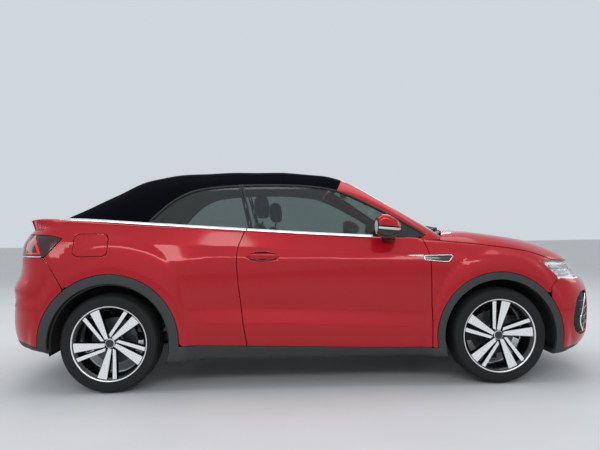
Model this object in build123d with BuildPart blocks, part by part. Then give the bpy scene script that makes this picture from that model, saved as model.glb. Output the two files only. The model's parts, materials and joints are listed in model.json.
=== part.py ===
from build123d import *
from math import atan2, cos, radians, sin
import os

os.makedirs("parts", exist_ok=True)

# Compact crossover car with two doors and a fabric soft top, closed.
# Millimetres. +X forward, +Y to the car's left, +Z up. The origin is on the ground,
# midway between the two bumpers and under the centre line.

# ---- driving dimensions ------------------------------------------------------
LENGTH = 4271.0
WHEELBASE = 2630.0
FRONT_OVERHANG = 851.0
HALF_LENGTH = LENGTH / 2
FRONT_AXLE = HALF_LENGTH - FRONT_OVERHANG
REAR_AXLE = FRONT_AXLE - WHEELBASE
HALF_TRACK = 773.0
TYRE_RADIUS = 328.0
HUB_Z = TYRE_RADIUS
WAIST_HALF = 888.0
ROOF_TOP = 1522.0

SIDE_WALL = 75.0
END_WALL = 90.0
SKIN_WALL = 40.0
GAP = 8.0
REACH = 1100.0
ARCH_RADIUS = 386.0
CLADDING_RADIUS = 440.0
FLARE_FACE = 905.5
LINER_RADIUS = 398.0
LINER_INNER_Y = 480.0

# ---- outlines, x and z in the side view --------------------------------------
BODY_SIDE = [
    (1990, 200), (2095, 255), (2135.5, 430), (2122, 640), (2085, 772), (1985, 862),
    (1850, 915), (1640, 976), (1300, 1034), (1010, 1060), (860, 1040), (439, 1040),
    (-432, 1083), (-1201, 1130), (-1642, 1160), (-1780, 1168), (-1985, 1154),
    (-1950, 1110), (-2040, 900), (-2052, 790), (-2122, 700), (-2135.5, 550),
    (-2130, 420), (-2080, 300), (-1950, 255), (-1700, 200),
]
DOOR_FRONT = [(768, 1000), (798, 936), (814, 867), (818, 575), (813, 285)]
DOOR_REAR = [
    (-435, 285), (-460, 452), (-476, 599), (-495, 793), (-498, 904), (-488, 963), (-432, 1083),
]
SILL_TOP = 277.0
BONNET_EDGE = [(800, 990), (973, 973), (1240, 943), (1514, 899), (1690, 838), (2160, 772)]
LAMP_EDGE = [(1590, 835), (1715, 716), (1830, 706), (2160, 690), (2160, 764), (1690, 830)]
TAIL_LAMP = [(-1659, 1031), (-1764, 906), (-2160, 906), (-2160, 1056), (-1853, 1058)]
GLASS_SPLIT_TOP = (-479, 1392)

# ---- plan of one half, x and y ------------------------------------------------
PLAN_NOSE = [(HALF_LENGTH, 0), (2117, 300), (2062, 600)]
PLAN_FRONT_CORNER = [(2062, 600), (2000, 760), (1880, 862)]
PLAN_TAIL = [(-HALF_LENGTH, 0), (-2126, 300), (-2097, 600)]
PLAN_REAR_CORNER = [(-2097, 600), (-2060, 790), (-1940, 868)]
PLAN_FRONT_SHOULDER = (1700, WAIST_HALF)
PLAN_REAR_SHOULDER = (-1760, WAIST_HALF)

# ---- cross-section of one half, y and z ----------------------------------------
BODY_SECTION = [
    (0, 195), (835, 195), (868, 225), (880, 290), (880, 420), (868, 452), (884, 540),
    (WAIST_HALF, 700), (886, 860), (872, 958), (835, 1010), (795, 1062), (770, 1120),
    (750, 1180), (0, 1180),
]

# ---- greenhouse -------------------------------------------------------------------
ROOF_SIDE = [
    (1030, 1046), (330, 1449), (180, 1482), (-60, 1510), (-420, ROOF_TOP), (-930, 1507),
    (-1209, 1454), (-1464, 1318), (-1775, 1166), (-1760, 1030), (1000, 1030),
]
ROOF_SECTION = [
    (0, 1000), (800, 1000), (782, 1085), (604, 1398), (575, 1440), (520, 1474), (430, 1497),
    (250, 1515), (0, ROOF_TOP),
]
ROOF_WALL = 32.0
GLASS_WALL = 8.0
PILLAR_WIDTH = 62.0
HEADER_REAR = 180.0
SCREEN_RADIUS = 3430.0
SCREEN_FOOT = (1010.0, 1058.0)
SCREEN_HEAD = (330.0, 1449.0)

FLAP_WALL = 12.0
FLAP_X = -1460.0
FLAP_Z = 984.0
FLAP_LENGTH = 222.0
FLAP_HEIGHT = 150.0
FLAP_CORNER = 40.0
FLAP_POCKET_Y = 770.0
CLADDING_INNER_Y = 858.0
SILL_INNER_Y = 762.0
LAMP_INNER_Y = 430.0
COWL_HALF = 770.0
CABIN_HALF = 700.0
SKIRT_TOP = 262.0
REAR_SKIRT_TOP = 420.0
GRILLE_HALF = 600.0
LID_HALF = 478.0
LID_FOOT = 792.0
DECK_HALF = 690.0
DECK_FRONT = -1790.0
DECK_LEVEL = 1048.0
DOOR_PLANE_Y = 960.0
DOOR_DEPTH = 262.0
DOOR_TAPER = 8
DOOR_SPREAD = 5.5
GLASS_PLAY = 6.0
MIRROR_INNER_Y = 862.0
MIRROR_OUTER_Y = 990.0
MIRROR_FOOT_Y = 800.0
MIRROR = [(425, 1089), (487, 1168), (560, 1162), (612, 1090), (596, 1040), (511, 1009), (440, 1030)]
PLATE_X = 2122.0
PLATE_DEPTH = 6.0
PLATE_Y = (-260, 260)
PLATE_RECESS_Y = (-268, 268)
FRONT_PLATE_Z = (500, 610)
FRONT_PLATE_RECESS_Z = (492, 618)
REAR_PLATE_Z = (520, 630)
REAR_PLATE_RECESS_Z = (512, 638)
TOW_MOUTH_X = 2080.0
TOW_Y = -430.0
TOW_Z = 540.0
TOW_COVER_RADIUS = 34.0
TOW_RADIUS = 10.0
REAR_PANE_X = 1150.0
REAR_PANE_Z = 1318.0
REAR_PANE_WIDTH = 900.0
REAR_PANE_HEIGHT = 176.0
REAR_PANE_CORNER = 40.0

# Outlines shared by neighbouring panels, x and z in the side view.
BONNET_REAR = [(868, -900), (1052, 0), (868, 900)]
FRONT_FACE = [
    (1715, 716), (1700, 711), (1640, 656), (1640, 150), (2200, 150), (2200, 688), (1830, 706),
]
FENDER = DOOR_FRONT[::-1] + [(768, 1060), (868, 1060), (868, 984)] + BONNET_EDGE[1:5] + [
    (1590, 835), (1715, 716), (1700, 711), (1640, 656), (1640, SILL_TOP), (813, SILL_TOP),
]
QUARTER = DOOR_REAR + [
    (-432, 1200), (-2200, 1200), (-2200, 1056), (-1853, 1058), (-1659, 1031), (-1764, 906),
    (-1641, 708), (-1641, SILL_TOP), (-435, SILL_TOP),
]
REAR_FACE = [(-1641, 708), (-1764, 906), (-2200, 906), (-2200, 150), (-1641, 150)]
DOOR = DOOR_FRONT[::-1] + [(768, 1300), (-432, 1300)] + DOOR_REAR[::-1]
DOOR_GLASS = [
    GLASS_SPLIT_TOP, (-178, 1392), (0, 1382), (149, 1359), (216, 1364), (528, 1191), (790, 1025),
    (640, 1015), (-400, 1040),
]
QUARTER_GLASS = [
    (-1112, 1110), (-1106, 1129), (-989, 1249), (-883, 1322), (-778, 1361), (-620, 1382),
    GLASS_SPLIT_TOP, (-400, 1040),
]
SIDE_GLASS = QUARTER_GLASS[:-2] + DOOR_GLASS[:-1] + [(-400, 1040)]
SCREEN_OUTLINE = [(1020, 1100), (930, 945), (230, 1345), (345, 1489)]
SIDES = [(-1, "right"), (1, "left")]

CABIN_FLOOR_X = (-940, 955)
FLOOR_Z = (205, 245)
BOOT_FLOOR_X = (-1900, -960)
BOOT_FLOOR_Z = (405, 440)
TUNNEL_X = (-1000, 960)
STRUT_Y = 595.0
STRUT_RADIUS = 28.0
SPRING_RADIUS = 65.0
TOWER_RADIUS = 82.0
KINGPIN_Y = HALF_TRACK - 72
UPRIGHT_IN = -94.0
UPRIGHT_WALL = 28.0
SPINDLE_RADIUS = 28.0
SPINDLE_LENGTH = 150.0
UPPER_ARM_REACH = 6.0
LOWER_ARM = [
    (410, 252), (640, 140), (KINGPIN_Y + 14, 140), (KINGPIN_Y + 14, 164), (650, 164), (410, 298),
]
DASH = [
    (560, 970), (640, 1005), (760, 985), (900, 970), (920, 900), (920, 640), (760, 560),
    (690, 700), (560, 830),
]
COLUMN_TILT = 24.0
WHEEL_Y = 370.0
WHEEL_CENTRE = (400.0, WHEEL_Y, 900.0)
WHEEL_RIM = 178.0
WHEEL_GRIP = 16.0
WHEEL_HUB = 62.0
SEAT_Y = 370.0
SEAT_WIDTH = 500.0
COLUMN_SHAFT = 12.0
BENCH = [
    (-470, 445), (-480, 550), (-850, 520), (-985, 1075), (-1125, 1075), (-1125, 1010),
    (-930, 460), (-930, 445),
]
WHEELS = [
    (FRONT_AXLE, 1, "front_left"), (FRONT_AXLE, -1, "front_right"),
    (REAR_AXLE, 1, "rear_left"), (REAR_AXLE, -1, "rear_right"),
]
TYRE = [
    (246, -90), (256, -104), (288, -112), (314, -107), (328, -90), (328, 90), (314, 107),
    (288, 112), (256, 104), (246, 90),
]
BARREL = [
    (245.8, -98), (245.8, 98), (247, 101), (252, 101), (252, 106), (238, 104), (228, 92), (228, -98),
]
RIM_HUB = 78.0
SPOKE_BACK = 60.0
SPOKE_DEPTH = 30.0
SPOKE_PAIRS = 5
WIDE_BLADE = [(60, -26), (231, -78), (231, -34), (60, 4)]
NARROW_BLADE = [(60, 2), (231, 36), (231, 62), (60, 24)]
HAT = [(0, -50), (88, -50), (88, 62), (0, 62)]
DISC = [(80, -52), (156, -52), (156, -30), (80, -30)]
DISC_ROOM = [(0, -60), (165, -60), (165, -22), (0, -22)]
SEAT = [(190, 400), (210, 530), (-110, 500), (-205, 1085), (-300, 1080), (-270, 400)]


def mirrored(points):
    """A half outline in (y, z), from centre line to centre line, with its other half."""
    return [(-a, b) for a, b in points] + [(a, b) for a, b in reversed(points[1:-1])]


def side_cut(points, mode, half_width=REACH, shrink=0.0):
    """Extrude a side-view outline right across the car into the part being built."""
    with BuildSketch(Plane.XZ) as outline:
        with BuildLine():
            Polyline(*points, close=True)
        make_face()
        if shrink:
            offset(amount=-shrink, kind=Kind.INTERSECTION)
    extrude(outline.sketch, amount=half_width, both=True, mode=mode)


def block(x_range, y_range, z_range, mode=Mode.ADD):
    """A box between three pairs of limits."""
    with Locations((sum(x_range) / 2, sum(y_range) / 2, sum(z_range) / 2)):
        Box(x_range[1] - x_range[0], y_range[1] - y_range[0], z_range[1] - z_range[0], mode=mode)


def twin_blocks(x_range, y_range, z_range, mode=Mode.ADD):
    """The same box on each side of the centre line."""
    block(x_range, y_range, z_range, mode)
    block(x_range, (-y_range[1], -y_range[0]), z_range, mode)


def arch_cylinders(radius, inner_y, outer_y, mode, axles=(FRONT_AXLE, REAR_AXLE)):
    """Cylinders about the wheel centres, on both sides of the car."""
    for axle in axles:
        for side in (-1, 1):
            with BuildSketch(Plane.XZ.offset(-side * inner_y)) as disc:
                with Locations((axle, HUB_Z)):
                    Circle(radius)
            extrude(disc.sketch, amount=-side * (outer_y - inner_y), mode=mode)


def body_form(side_in=0.0, end_in=0.0, skin_in=0.0):
    """The closed body below the belt, drawn in by a wall thickness in each view."""
    with BuildPart() as form:
        side_cut(BODY_SIDE, Mode.ADD, shrink=skin_in)
        with BuildSketch(Plane.XY) as plan:
            with BuildLine() as half:
                nose = ThreePointArc(*PLAN_NOSE)
                front_corner = ThreePointArc(*PLAN_FRONT_CORNER)
                tail = ThreePointArc(*PLAN_TAIL)
                rear_corner = ThreePointArc(*PLAN_REAR_CORNER)
                Line(front_corner @ 1, PLAN_FRONT_SHOULDER)
                Line(PLAN_FRONT_SHOULDER, PLAN_REAR_SHOULDER)
                Line(PLAN_REAR_SHOULDER, rear_corner @ 1)
                Line(nose @ 0, tail @ 0)
            make_face()
            mirror(about=Plane.XZ)
            if end_in:
                scale(by=1 - end_in / HALF_LENGTH)
        extrude(plan.sketch, amount=ROOF_TOP, mode=Mode.INTERSECT)
        with BuildSketch(Plane.YZ) as section:
            with BuildLine():
                Polyline(*mirrored(BODY_SECTION), close=True)
            make_face()
            if side_in:
                offset(amount=-side_in, kind=Kind.INTERSECTION)
        extrude(section.sketch, amount=LENGTH, both=True, mode=Mode.INTERSECT)
    return form.part


def roof_form(wall=0.0):
    """The closed greenhouse, drawn in by a wall thickness."""
    slope = atan2(SCREEN_FOOT[1] - SCREEN_HEAD[1], SCREEN_FOOT[0] - SCREEN_HEAD[0])
    along = (-cos(slope), 0, -sin(slope))
    with BuildPart() as form:
        side_cut(ROOF_SIDE, Mode.ADD, shrink=wall)
        with BuildSketch(Plane.YZ) as section:
            with BuildLine():
                Polyline(*mirrored(ROOF_SECTION), close=True)
            make_face()
            if wall:
                offset(amount=-wall, kind=Kind.INTERSECTION)
        extrude(section.sketch, amount=LENGTH, both=True, mode=Mode.INTERSECT)
        foot = Plane(
            origin=(SCREEN_FOOT[0], 0, SCREEN_FOOT[1]), x_dir=(0, 1, 0), z_dir=along
        )
        with BuildSketch(foot) as screen:
            with Locations((0, SCREEN_RADIUS + wall)):
                Circle(SCREEN_RADIUS)
        extrude(screen.sketch, amount=LENGTH, both=True, mode=Mode.INTERSECT)
    return form.part



def moved(points, dx, dz=0.0):
    """An outline's points moved together."""
    return [(x + dx, z + dz) for x, z in points]


def hub_plane(axle, side, out=0.0):
    """A plane across a wheel, its normal pointing away from the car."""
    origin = (axle, side * (HALF_TRACK + out), HUB_Z)
    return Plane(origin=origin, x_dir=(-side, 0, 0), z_dir=(0, side, 0))


def hub_section(axle, side):
    """A plane through a wheel's axis: x is the radius and y points away from the car."""
    origin = (axle, side * HALF_TRACK, HUB_Z)
    return Plane(origin=origin, x_dir=(0, 0, 1), z_dir=(-side, 0, 0))


def hub_axis(axle, side):
    """The line that a wheel turns about."""
    return Axis((axle, side * HALF_TRACK, HUB_Z), (0, side, 0))


def hub_turned(points, axle, side, mode=Mode.ADD):
    """Turn a closed outline, radius and outward distance, about a wheel's axis."""
    with BuildSketch(hub_section(axle, side)) as profile:
        with BuildLine():
            Polyline(*points, close=True)
        make_face()
    revolve(profile.sketch, axis=hub_axis(axle, side), mode=mode)


def finish(piece, name):
    """Label a finished piece and write its file."""
    piece.part.label = name
    export_step(piece.part, f"parts/{name}.step")


# ---- master forms -------------------------------------------------------------
outer_form = body_form()
inner_form = body_form(SIDE_WALL, END_WALL, SKIN_WALL)
flap_inner_form = body_form(FLAP_WALL, FLAP_WALL, FLAP_WALL)
with BuildPart() as shell:
    add(outer_form)
    add(inner_form, mode=Mode.SUBTRACT)
    arch_cylinders(LINER_RADIUS, LINER_INNER_Y, REACH, Mode.SUBTRACT)
    arch_cylinders(CLADDING_RADIUS, CLADDING_INNER_Y, REACH, Mode.SUBTRACT)
shell_form = shell.part
roof_outer = roof_form()
with BuildPart() as roof_shell:
    add(roof_outer)
    add(roof_form(ROOF_WALL), mode=Mode.SUBTRACT)
    add(outer_form, mode=Mode.SUBTRACT)
roof_shell_form = roof_shell.part
with BuildPart() as glass_skin:
    add(roof_outer)
    add(roof_form(GLASS_WALL), mode=Mode.SUBTRACT)
    add(outer_form, mode=Mode.SUBTRACT)
glass_form = glass_skin.part


def lid_space(mode, play=0.0):
    """The part of the tail that the boot lid fills, drawn in by its shut gap."""
    front = DECK_FRONT - play
    block((-2200, front), (-DECK_HALF + play, DECK_HALF - play), (DECK_LEVEL + play, 1300), mode)
    block((-2200, front), (-LID_HALF + play, LID_HALF - play), (LID_FOOT + play, 1300), mode)


# ---- front end -------------------------------------------------------------------
with BuildPart() as grille_space:
    block((2000, 2200), (-GRILLE_HALF, GRILLE_HALF), (285, 440))
    block((1990, 2200), (-GRILLE_HALF, GRILLE_HALF), (640, 690))
    block((1930, 2200), (-LAMP_INNER_Y, LAMP_INNER_Y), (690, 800))

with BuildPart() as front_bumper:
    add(shell_form)
    side_cut(FRONT_FACE, Mode.INTERSECT)
    block((1600, 2200), (-REACH, REACH), (100, SKIRT_TOP), Mode.SUBTRACT)
    add(grille_space.part, mode=Mode.SUBTRACT)
    block((PLATE_X - PLATE_DEPTH, 2200), PLATE_RECESS_Y, FRONT_PLATE_RECESS_Z, Mode.SUBTRACT)
    with Locations(Location((TOW_MOUTH_X, TOW_Y, TOW_Z), (0, 90, 0))):
        Cylinder(TOW_COVER_RADIUS, 100, align=(Align.CENTER, Align.CENTER, Align.MIN), mode=Mode.SUBTRACT)
        Cylinder(TOW_RADIUS, 200, mode=Mode.SUBTRACT)
finish(front_bumper, "front_bumper")

with BuildPart() as front_skirt:
    add(shell_form)
    block((1640, 2200), (-REACH, REACH), (100, SKIRT_TOP), Mode.INTERSECT)
finish(front_skirt, "front_skirt")

with BuildPart() as grille:
    add(shell_form)
    side_cut([(1700, 100), (2300, 100), (2300, 764), (1690, 830)], Mode.INTERSECT)
    add(grille_space.part, mode=Mode.INTERSECT)
finish(grille, "grille")

with BuildPart() as headlamps:
    add(shell_form)
    side_cut(LAMP_EDGE, Mode.INTERSECT)
    block((1500, 2200), (-LAMP_INNER_Y, LAMP_INNER_Y), (600, 900), Mode.SUBTRACT)
finish(headlamps, "headlamps")

with BuildPart() as front_fenders:
    add(shell_form)
    side_cut(FENDER, Mode.INTERSECT)
    block((700, 1800), (-COWL_HALF, COWL_HALF), (100, 1300), Mode.SUBTRACT)
finish(front_fenders, "front_fenders")

with BuildPart() as bonnet_plan:
    with BuildSketch() as plan:
        with BuildLine():
            rear_edge = ThreePointArc(*BONNET_REAR)
            Polyline(rear_edge @ 1, (2200, 1000), (2200, -1000), rear_edge @ 0)
        make_face()
    extrude(amount=1500)

with BuildPart() as bonnet:
    add(shell_form)
    side_cut(moved(BONNET_EDGE, 0, GAP) + [(2200, 1300), (780, 1300)], Mode.INTERSECT)
    add(bonnet_plan.part, mode=Mode.INTERSECT)
finish(bonnet, "bonnet")

with BuildPart() as cowl:
    add(shell_form)
    block((760, 1100), (-REACH, REACH), (960, 1200), Mode.INTERSECT)
    with Locations((-GAP, 0, 0)):
        add(bonnet_plan.part, mode=Mode.SUBTRACT)
    twin_blocks((700, 1100), (COWL_HALF, REACH), (900, 1200), Mode.SUBTRACT)
finish(cowl, "cowl")

# ---- sides -----------------------------------------------------------------------------
with BuildPart() as fuel_space:
    with BuildSketch(Plane.XZ.offset(600)) as flap_outline:
        with Locations((FLAP_X, FLAP_Z)):
            RectangleRounded(FLAP_LENGTH, FLAP_HEIGHT, FLAP_CORNER)
    extrude(flap_outline.sketch, amount=500)

with BuildPart() as fuel_flap:
    add(outer_form)
    add(flap_inner_form, mode=Mode.SUBTRACT)
    add(fuel_space.part, mode=Mode.INTERSECT)
finish(fuel_flap, "fuel_flap")

with BuildPart() as rear_quarters:
    add(shell_form)
    side_cut(QUARTER, Mode.INTERSECT)
    block((-1240, -300), (-CABIN_HALF, CABIN_HALF), (900, 1300), Mode.SUBTRACT)
    lid_space(Mode.SUBTRACT)
    with BuildSketch(Plane.XZ.offset(FLAP_POCKET_Y)) as pocket:
        with Locations((FLAP_X, FLAP_Z)):
            RectangleRounded(FLAP_LENGTH + 2 * GAP, FLAP_HEIGHT + 2 * GAP, FLAP_CORNER + GAP)
    extrude(pocket.sketch, amount=300, mode=Mode.SUBTRACT)
finish(rear_quarters, "rear_quarters")

for side, name in SIDES:
    inward = Plane(origin=(0, side * DOOR_PLANE_Y, 0), x_dir=(1, 0, 0), z_dir=(0, -side, 0))
    with BuildPart() as door:
        add(shell_form)
        with BuildSketch(inward) as outline:
            with BuildLine():
                Polyline(*[(x, side * z) for x, z in DOOR], close=True)
            make_face()
            offset(amount=DOOR_SPREAD, kind=Kind.INTERSECTION)
        extrude(outline.sketch, amount=DOOR_DEPTH, taper=DOOR_TAPER, mode=Mode.INTERSECT)
        block((-600, 900), (-REACH, REACH), (100, SILL_TOP + GAP), Mode.SUBTRACT)
    finish(door, f"door_{name}")

    with BuildPart() as door_glass:
        add(glass_form)
        side_cut(DOOR_GLASS, Mode.INTERSECT, shrink=GLASS_PLAY)
        keep = (0, REACH) if side > 0 else (-REACH, 0)
        block((-600, 900), keep, (1000, 1500), Mode.INTERSECT)
    finish(door_glass, f"door_glass_{name}")

    with BuildPart() as mirror:
        with BuildSketch(Plane.XZ.offset(-side * MIRROR_INNER_Y)) as housing:
            with BuildLine():
                Polyline(*MIRROR, close=True)
            make_face()
        extrude(housing.sketch, amount=-side * (MIRROR_OUTER_Y - MIRROR_INNER_Y))
        foot_y = sorted((side * MIRROR_FOOT_Y, side * (MIRROR_INNER_Y + 5)))
        block((490, 570), foot_y, (955, 1030))
        add(outer_form, mode=Mode.SUBTRACT)
    finish(mirror, f"mirror_{name}")

with BuildPart() as quarter_glasses:
    add(glass_form)
    side_cut(QUARTER_GLASS, Mode.INTERSECT)
finish(quarter_glasses, "quarter_glasses")

with BuildPart() as sill_claddings:
    add(shell_form)
    block((-1640, 1640), (-REACH, REACH), (100, SILL_TOP), Mode.INTERSECT)
    block((-1640, 1640), (-SILL_INNER_Y, SILL_INNER_Y), (100, SILL_TOP), Mode.SUBTRACT)
    arch_cylinders(CLADDING_RADIUS, CLADDING_INNER_Y, FLARE_FACE, Mode.ADD)
    arch_cylinders(ARCH_RADIUS, LINER_INNER_Y, REACH, Mode.SUBTRACT)
    block((-2200, 2200), (-REACH, REACH), (-200, 205), Mode.SUBTRACT)
finish(sill_claddings, "sill_claddings")

# ---- tail ---------------------------------------------------------------------------------
with BuildPart() as boot_lid:
    add(shell_form)
    with BuildPart(mode=Mode.PRIVATE) as lid_room:
        lid_space(Mode.ADD, GAP)
    add(lid_room.part, mode=Mode.INTERSECT)
finish(boot_lid, "boot_lid")

with BuildPart() as tail_lamps:
    add(shell_form)
    side_cut(TAIL_LAMP, Mode.INTERSECT)
    block((-2200, -1500), (-LID_HALF, LID_HALF), (800, 1200), Mode.SUBTRACT)
    lid_space(Mode.SUBTRACT)
finish(tail_lamps, "tail_lamps")

with BuildPart() as rear_skirt:
    add(shell_form)
    with BuildPart(mode=Mode.PRIVATE) as skirt_room:
        block((-2200, -1640), (-REACH, REACH), (100, SKIRT_TOP))
        block((-2200, -1990), (-GRILLE_HALF, GRILLE_HALF), (100, REAR_SKIRT_TOP))
    add(skirt_room.part, mode=Mode.INTERSECT)
finish(rear_skirt, "rear_skirt")

with BuildPart() as rear_bumper:
    add(shell_form)
    side_cut(REAR_FACE, Mode.INTERSECT)
    add(skirt_room.part, mode=Mode.SUBTRACT)
    lid_space(Mode.SUBTRACT)
    block((-2200, PLATE_DEPTH - PLATE_X), PLATE_RECESS_Y, REAR_PLATE_RECESS_Z, Mode.SUBTRACT)
finish(rear_bumper, "rear_bumper")

with BuildPart() as number_plates:
    block((PLATE_X - PLATE_DEPTH, PLATE_X), PLATE_Y, FRONT_PLATE_Z)
    block((-PLATE_X, PLATE_DEPTH - PLATE_X), PLATE_Y, REAR_PLATE_Z)
finish(number_plates, "number_plates")

# ---- greenhouse --------------------------------------------------------------------------
with BuildPart() as screen_space:
    side_cut(SCREEN_OUTLINE, Mode.ADD)
    with BuildSketch(Plane.YZ) as section:
        with BuildLine():
            Polyline(*mirrored(ROOF_SECTION), close=True)
        make_face()
        offset(amount=-PILLAR_WIDTH, kind=Kind.INTERSECTION)
    extrude(section.sketch, amount=LENGTH, both=True, mode=Mode.INTERSECT)

with BuildPart() as windscreen:
    add(glass_form)
    add(screen_space.part, mode=Mode.INTERSECT)
finish(windscreen, "windscreen")

with BuildPart() as windscreen_frame:
    add(roof_shell_form)
    block((HEADER_REAR, 1200), (-REACH, REACH), (900, 1600), Mode.INTERSECT)
    side_cut(SIDE_GLASS, Mode.SUBTRACT)
    add(screen_space.part, mode=Mode.SUBTRACT)
finish(windscreen_frame, "windscreen_frame")

with BuildPart() as rear_pane:
    with BuildSketch(Plane.YZ.offset(-REAR_PANE_X)) as pane_outline:
        with Locations((0, REAR_PANE_Z)):
            RectangleRounded(REAR_PANE_WIDTH, REAR_PANE_HEIGHT, REAR_PANE_CORNER)
    extrude(pane_outline.sketch, amount=-1000)

with BuildPart() as soft_top:
    add(roof_shell_form)
    block((-2000, HEADER_REAR), (-REACH, REACH), (900, 1600), Mode.INTERSECT)
    side_cut(SIDE_GLASS, Mode.SUBTRACT)
    add(rear_pane.part, mode=Mode.SUBTRACT)
finish(soft_top, "soft_top")

with BuildPart() as rear_window:
    add(glass_form)
    add(rear_pane.part, mode=Mode.INTERSECT)
finish(rear_window, "rear_window")

# ---- structure below and inside ---------------------------------------------------------------
with BuildPart() as floor_pan:
    block(CABIN_FLOOR_X, (-SILL_INNER_Y, SILL_INNER_Y), FLOOR_Z)
    twin_blocks(CABIN_FLOOR_X, (700, SILL_INNER_Y), (FLOOR_Z[1], 390))
    block((930, 955), (-760, 760), (FLOOR_Z[1], 940))
    block((-965, -940), (-LINER_INNER_Y, LINER_INNER_Y), (FLOOR_Z[0], BOOT_FLOOR_Z[1]))
    block(BOOT_FLOOR_X, (-LINER_INNER_Y, LINER_INNER_Y), BOOT_FLOOR_Z)
    block((BOOT_FLOOR_X[0], -1700), (-785, 785), BOOT_FLOOR_Z)
    block((-1985, -1900), (-690, 690), BOOT_FLOOR_Z)
    block((-1990, -1965), (-640, 640), (BOOT_FLOOR_Z[0], LID_FOOT - GAP))
    block((-1175, -1150), (-690, 690), (BOOT_FLOOR_Z[1], 1000))
    twin_blocks((955, 1940), (426, 474), (400, 480))
    block((1905, 1940), (-474, 474), (300, 690))
    arch_cylinders(LINER_RADIUS, LINER_INNER_Y, REACH, Mode.SUBTRACT)
    block(TUNNEL_X, (-100, 100), (100, 300), Mode.SUBTRACT)
    block(TUNNEL_X, (-116, 116), (FLOOR_Z[1], 372))
    block(TUNNEL_X, (-100, 100), (100, 356), Mode.SUBTRACT)
    with BuildPart(mode=Mode.PRIVATE) as liners:
        arch_cylinders(LINER_RADIUS, LINER_INNER_Y, CLADDING_INNER_Y, Mode.ADD)
        arch_cylinders(ARCH_RADIUS, LINER_INNER_Y - 10, REACH, Mode.SUBTRACT)
        twin_blocks((-2200, 2200), (LINER_INNER_Y - 10, 660), (-200, 420), Mode.SUBTRACT)
        block((-2200, 2200), (-REACH, REACH), (-200, SILL_TOP), Mode.SUBTRACT)
    add(liners.part)
    with Locations(*[(FRONT_AXLE, side * STRUT_Y, 790) for side, _ in SIDES]):
        Cylinder(TOWER_RADIUS, 160)
    with Locations(*[(FRONT_AXLE, side * STRUT_Y, 740) for side, _ in SIDES]):
        Cylinder(TOWER_RADIUS - 8, 240, mode=Mode.SUBTRACT)
finish(floor_pan, "floor_pan")

with BuildPart() as engine_block:
    block((1100, 1640), (-330, 360), (330, 820))
finish(engine_block, "engine_block")

with BuildPart() as front_suspension:
    block((1150, 1400), (-420, 420), (250, 300))
    for side, _ in SIDES:
        with BuildSketch(Plane.YZ.offset(FRONT_AXLE - 40)) as arm:
            with BuildLine():
                Polyline(*[(side * y, z) for y, z in LOWER_ARM], close=True)
            make_face()
        extrude(arm.sketch, amount=80)
        with Locations((FRONT_AXLE, side * STRUT_Y, 665)):
            Cylinder(STRUT_RADIUS, 390)
        with Locations((FRONT_AXLE, side * STRUT_Y, 765)):
            Cylinder(SPRING_RADIUS, 170)
        arm_y = sorted((side * STRUT_Y, side * (KINGPIN_Y + UPPER_ARM_REACH)))
        block((FRONT_AXLE - 18, FRONT_AXLE + 18), arm_y, (475, 500))
finish(front_suspension, "front_suspension")

with BuildPart() as rear_axle:
    block((-1200, -1130), (-600, 600), (300, 360))
    for side, _ in SIDES:
        arm_y = sorted((side * 560, side * 620))
        block((REAR_AXLE - 40, -975), arm_y, (300, 350))
        with BuildSketch(hub_plane(REAR_AXLE, side, UPRIGHT_IN)) as carrier:
            Circle(70)
        extrude(carrier.sketch, amount=UPRIGHT_WALL)
        bracket_y = sorted((side * 600, side * (HALF_TRACK + UPRIGHT_IN + 4)))
        block((REAR_AXLE - 40, REAR_AXLE + 40), bracket_y, (300, 360))
        with BuildSketch(hub_plane(REAR_AXLE, side, UPRIGHT_IN)) as spindle:
            Circle(SPINDLE_RADIUS)
        extrude(spindle.sketch, amount=SPINDLE_LENGTH)
        with Locations((REAR_AXLE + 60, side * 590, 475)):
            Cylinder(SPRING_RADIUS - 10, 250)
finish(rear_axle, "rear_axle")

with BuildPart() as exhaust:
    block((-1630, -1450), (-330, 330), (252, 390))
    block((-1455, 900), (-25, 25), (240, 290))
finish(exhaust, "exhaust")

column = Plane(
    origin=WHEEL_CENTRE,
    x_dir=(0, 1, 0),
    z_dir=(-cos(radians(COLUMN_TILT)), 0, sin(radians(COLUMN_TILT))),
)
with BuildPart() as dashboard:
    side_cut(DASH, Mode.ADD, half_width=690)
    block((-240, 800), (-105, 105), (372, 600))
    with BuildSketch(column.offset(-240)) as shroud:
        Circle(40)
    extrude(shroud.sketch, amount=200)
    with BuildSketch(column.offset(-150)) as shaft_bore:
        Circle(COLUMN_SHAFT + 0.05)
    extrude(shaft_bore.sketch, amount=150, mode=Mode.SUBTRACT)
finish(dashboard, "dashboard")

with BuildPart() as steering_wheel:
    with BuildSketch(column) as hub:
        Circle(WHEEL_HUB)
    extrude(hub.sketch, amount=30, both=True)
    with BuildSketch(column.offset(-120)) as shaft:
        Circle(COLUMN_SHAFT)
    extrude(shaft.sketch, amount=120)
    with BuildSketch(column) as spokes:
        with PolarLocations(0, 3, start_angle=90):
            Rectangle(WHEEL_RIM - 6, 34, align=(Align.MIN, Align.CENTER))
    extrude(spokes.sketch, amount=8, both=True)
    with Locations(column):
        Torus(WHEEL_RIM, WHEEL_GRIP)
finish(steering_wheel, "steering_wheel")

with BuildPart() as front_seats:
    for side, _ in SIDES:
        inner_y, outer_y = sorted((side * (SEAT_Y - 250), side * (SEAT_Y + 250)))
        with BuildSketch(Plane.XZ.offset(-outer_y)) as seat:
            with BuildLine():
                Polyline(*SEAT, close=True)
            make_face()
        extrude(seat.sketch, amount=outer_y - inner_y)
        block((-200, 150), (inner_y + 60, outer_y - 60), (FLOOR_Z[1], 405))
        block((-275, -180), (inner_y + 120, outer_y - 120), (1105, 1300))
        block((-248, -222), (inner_y + 190, outer_y - 190), (1060, 1110))
finish(front_seats, "front_seats")

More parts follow.
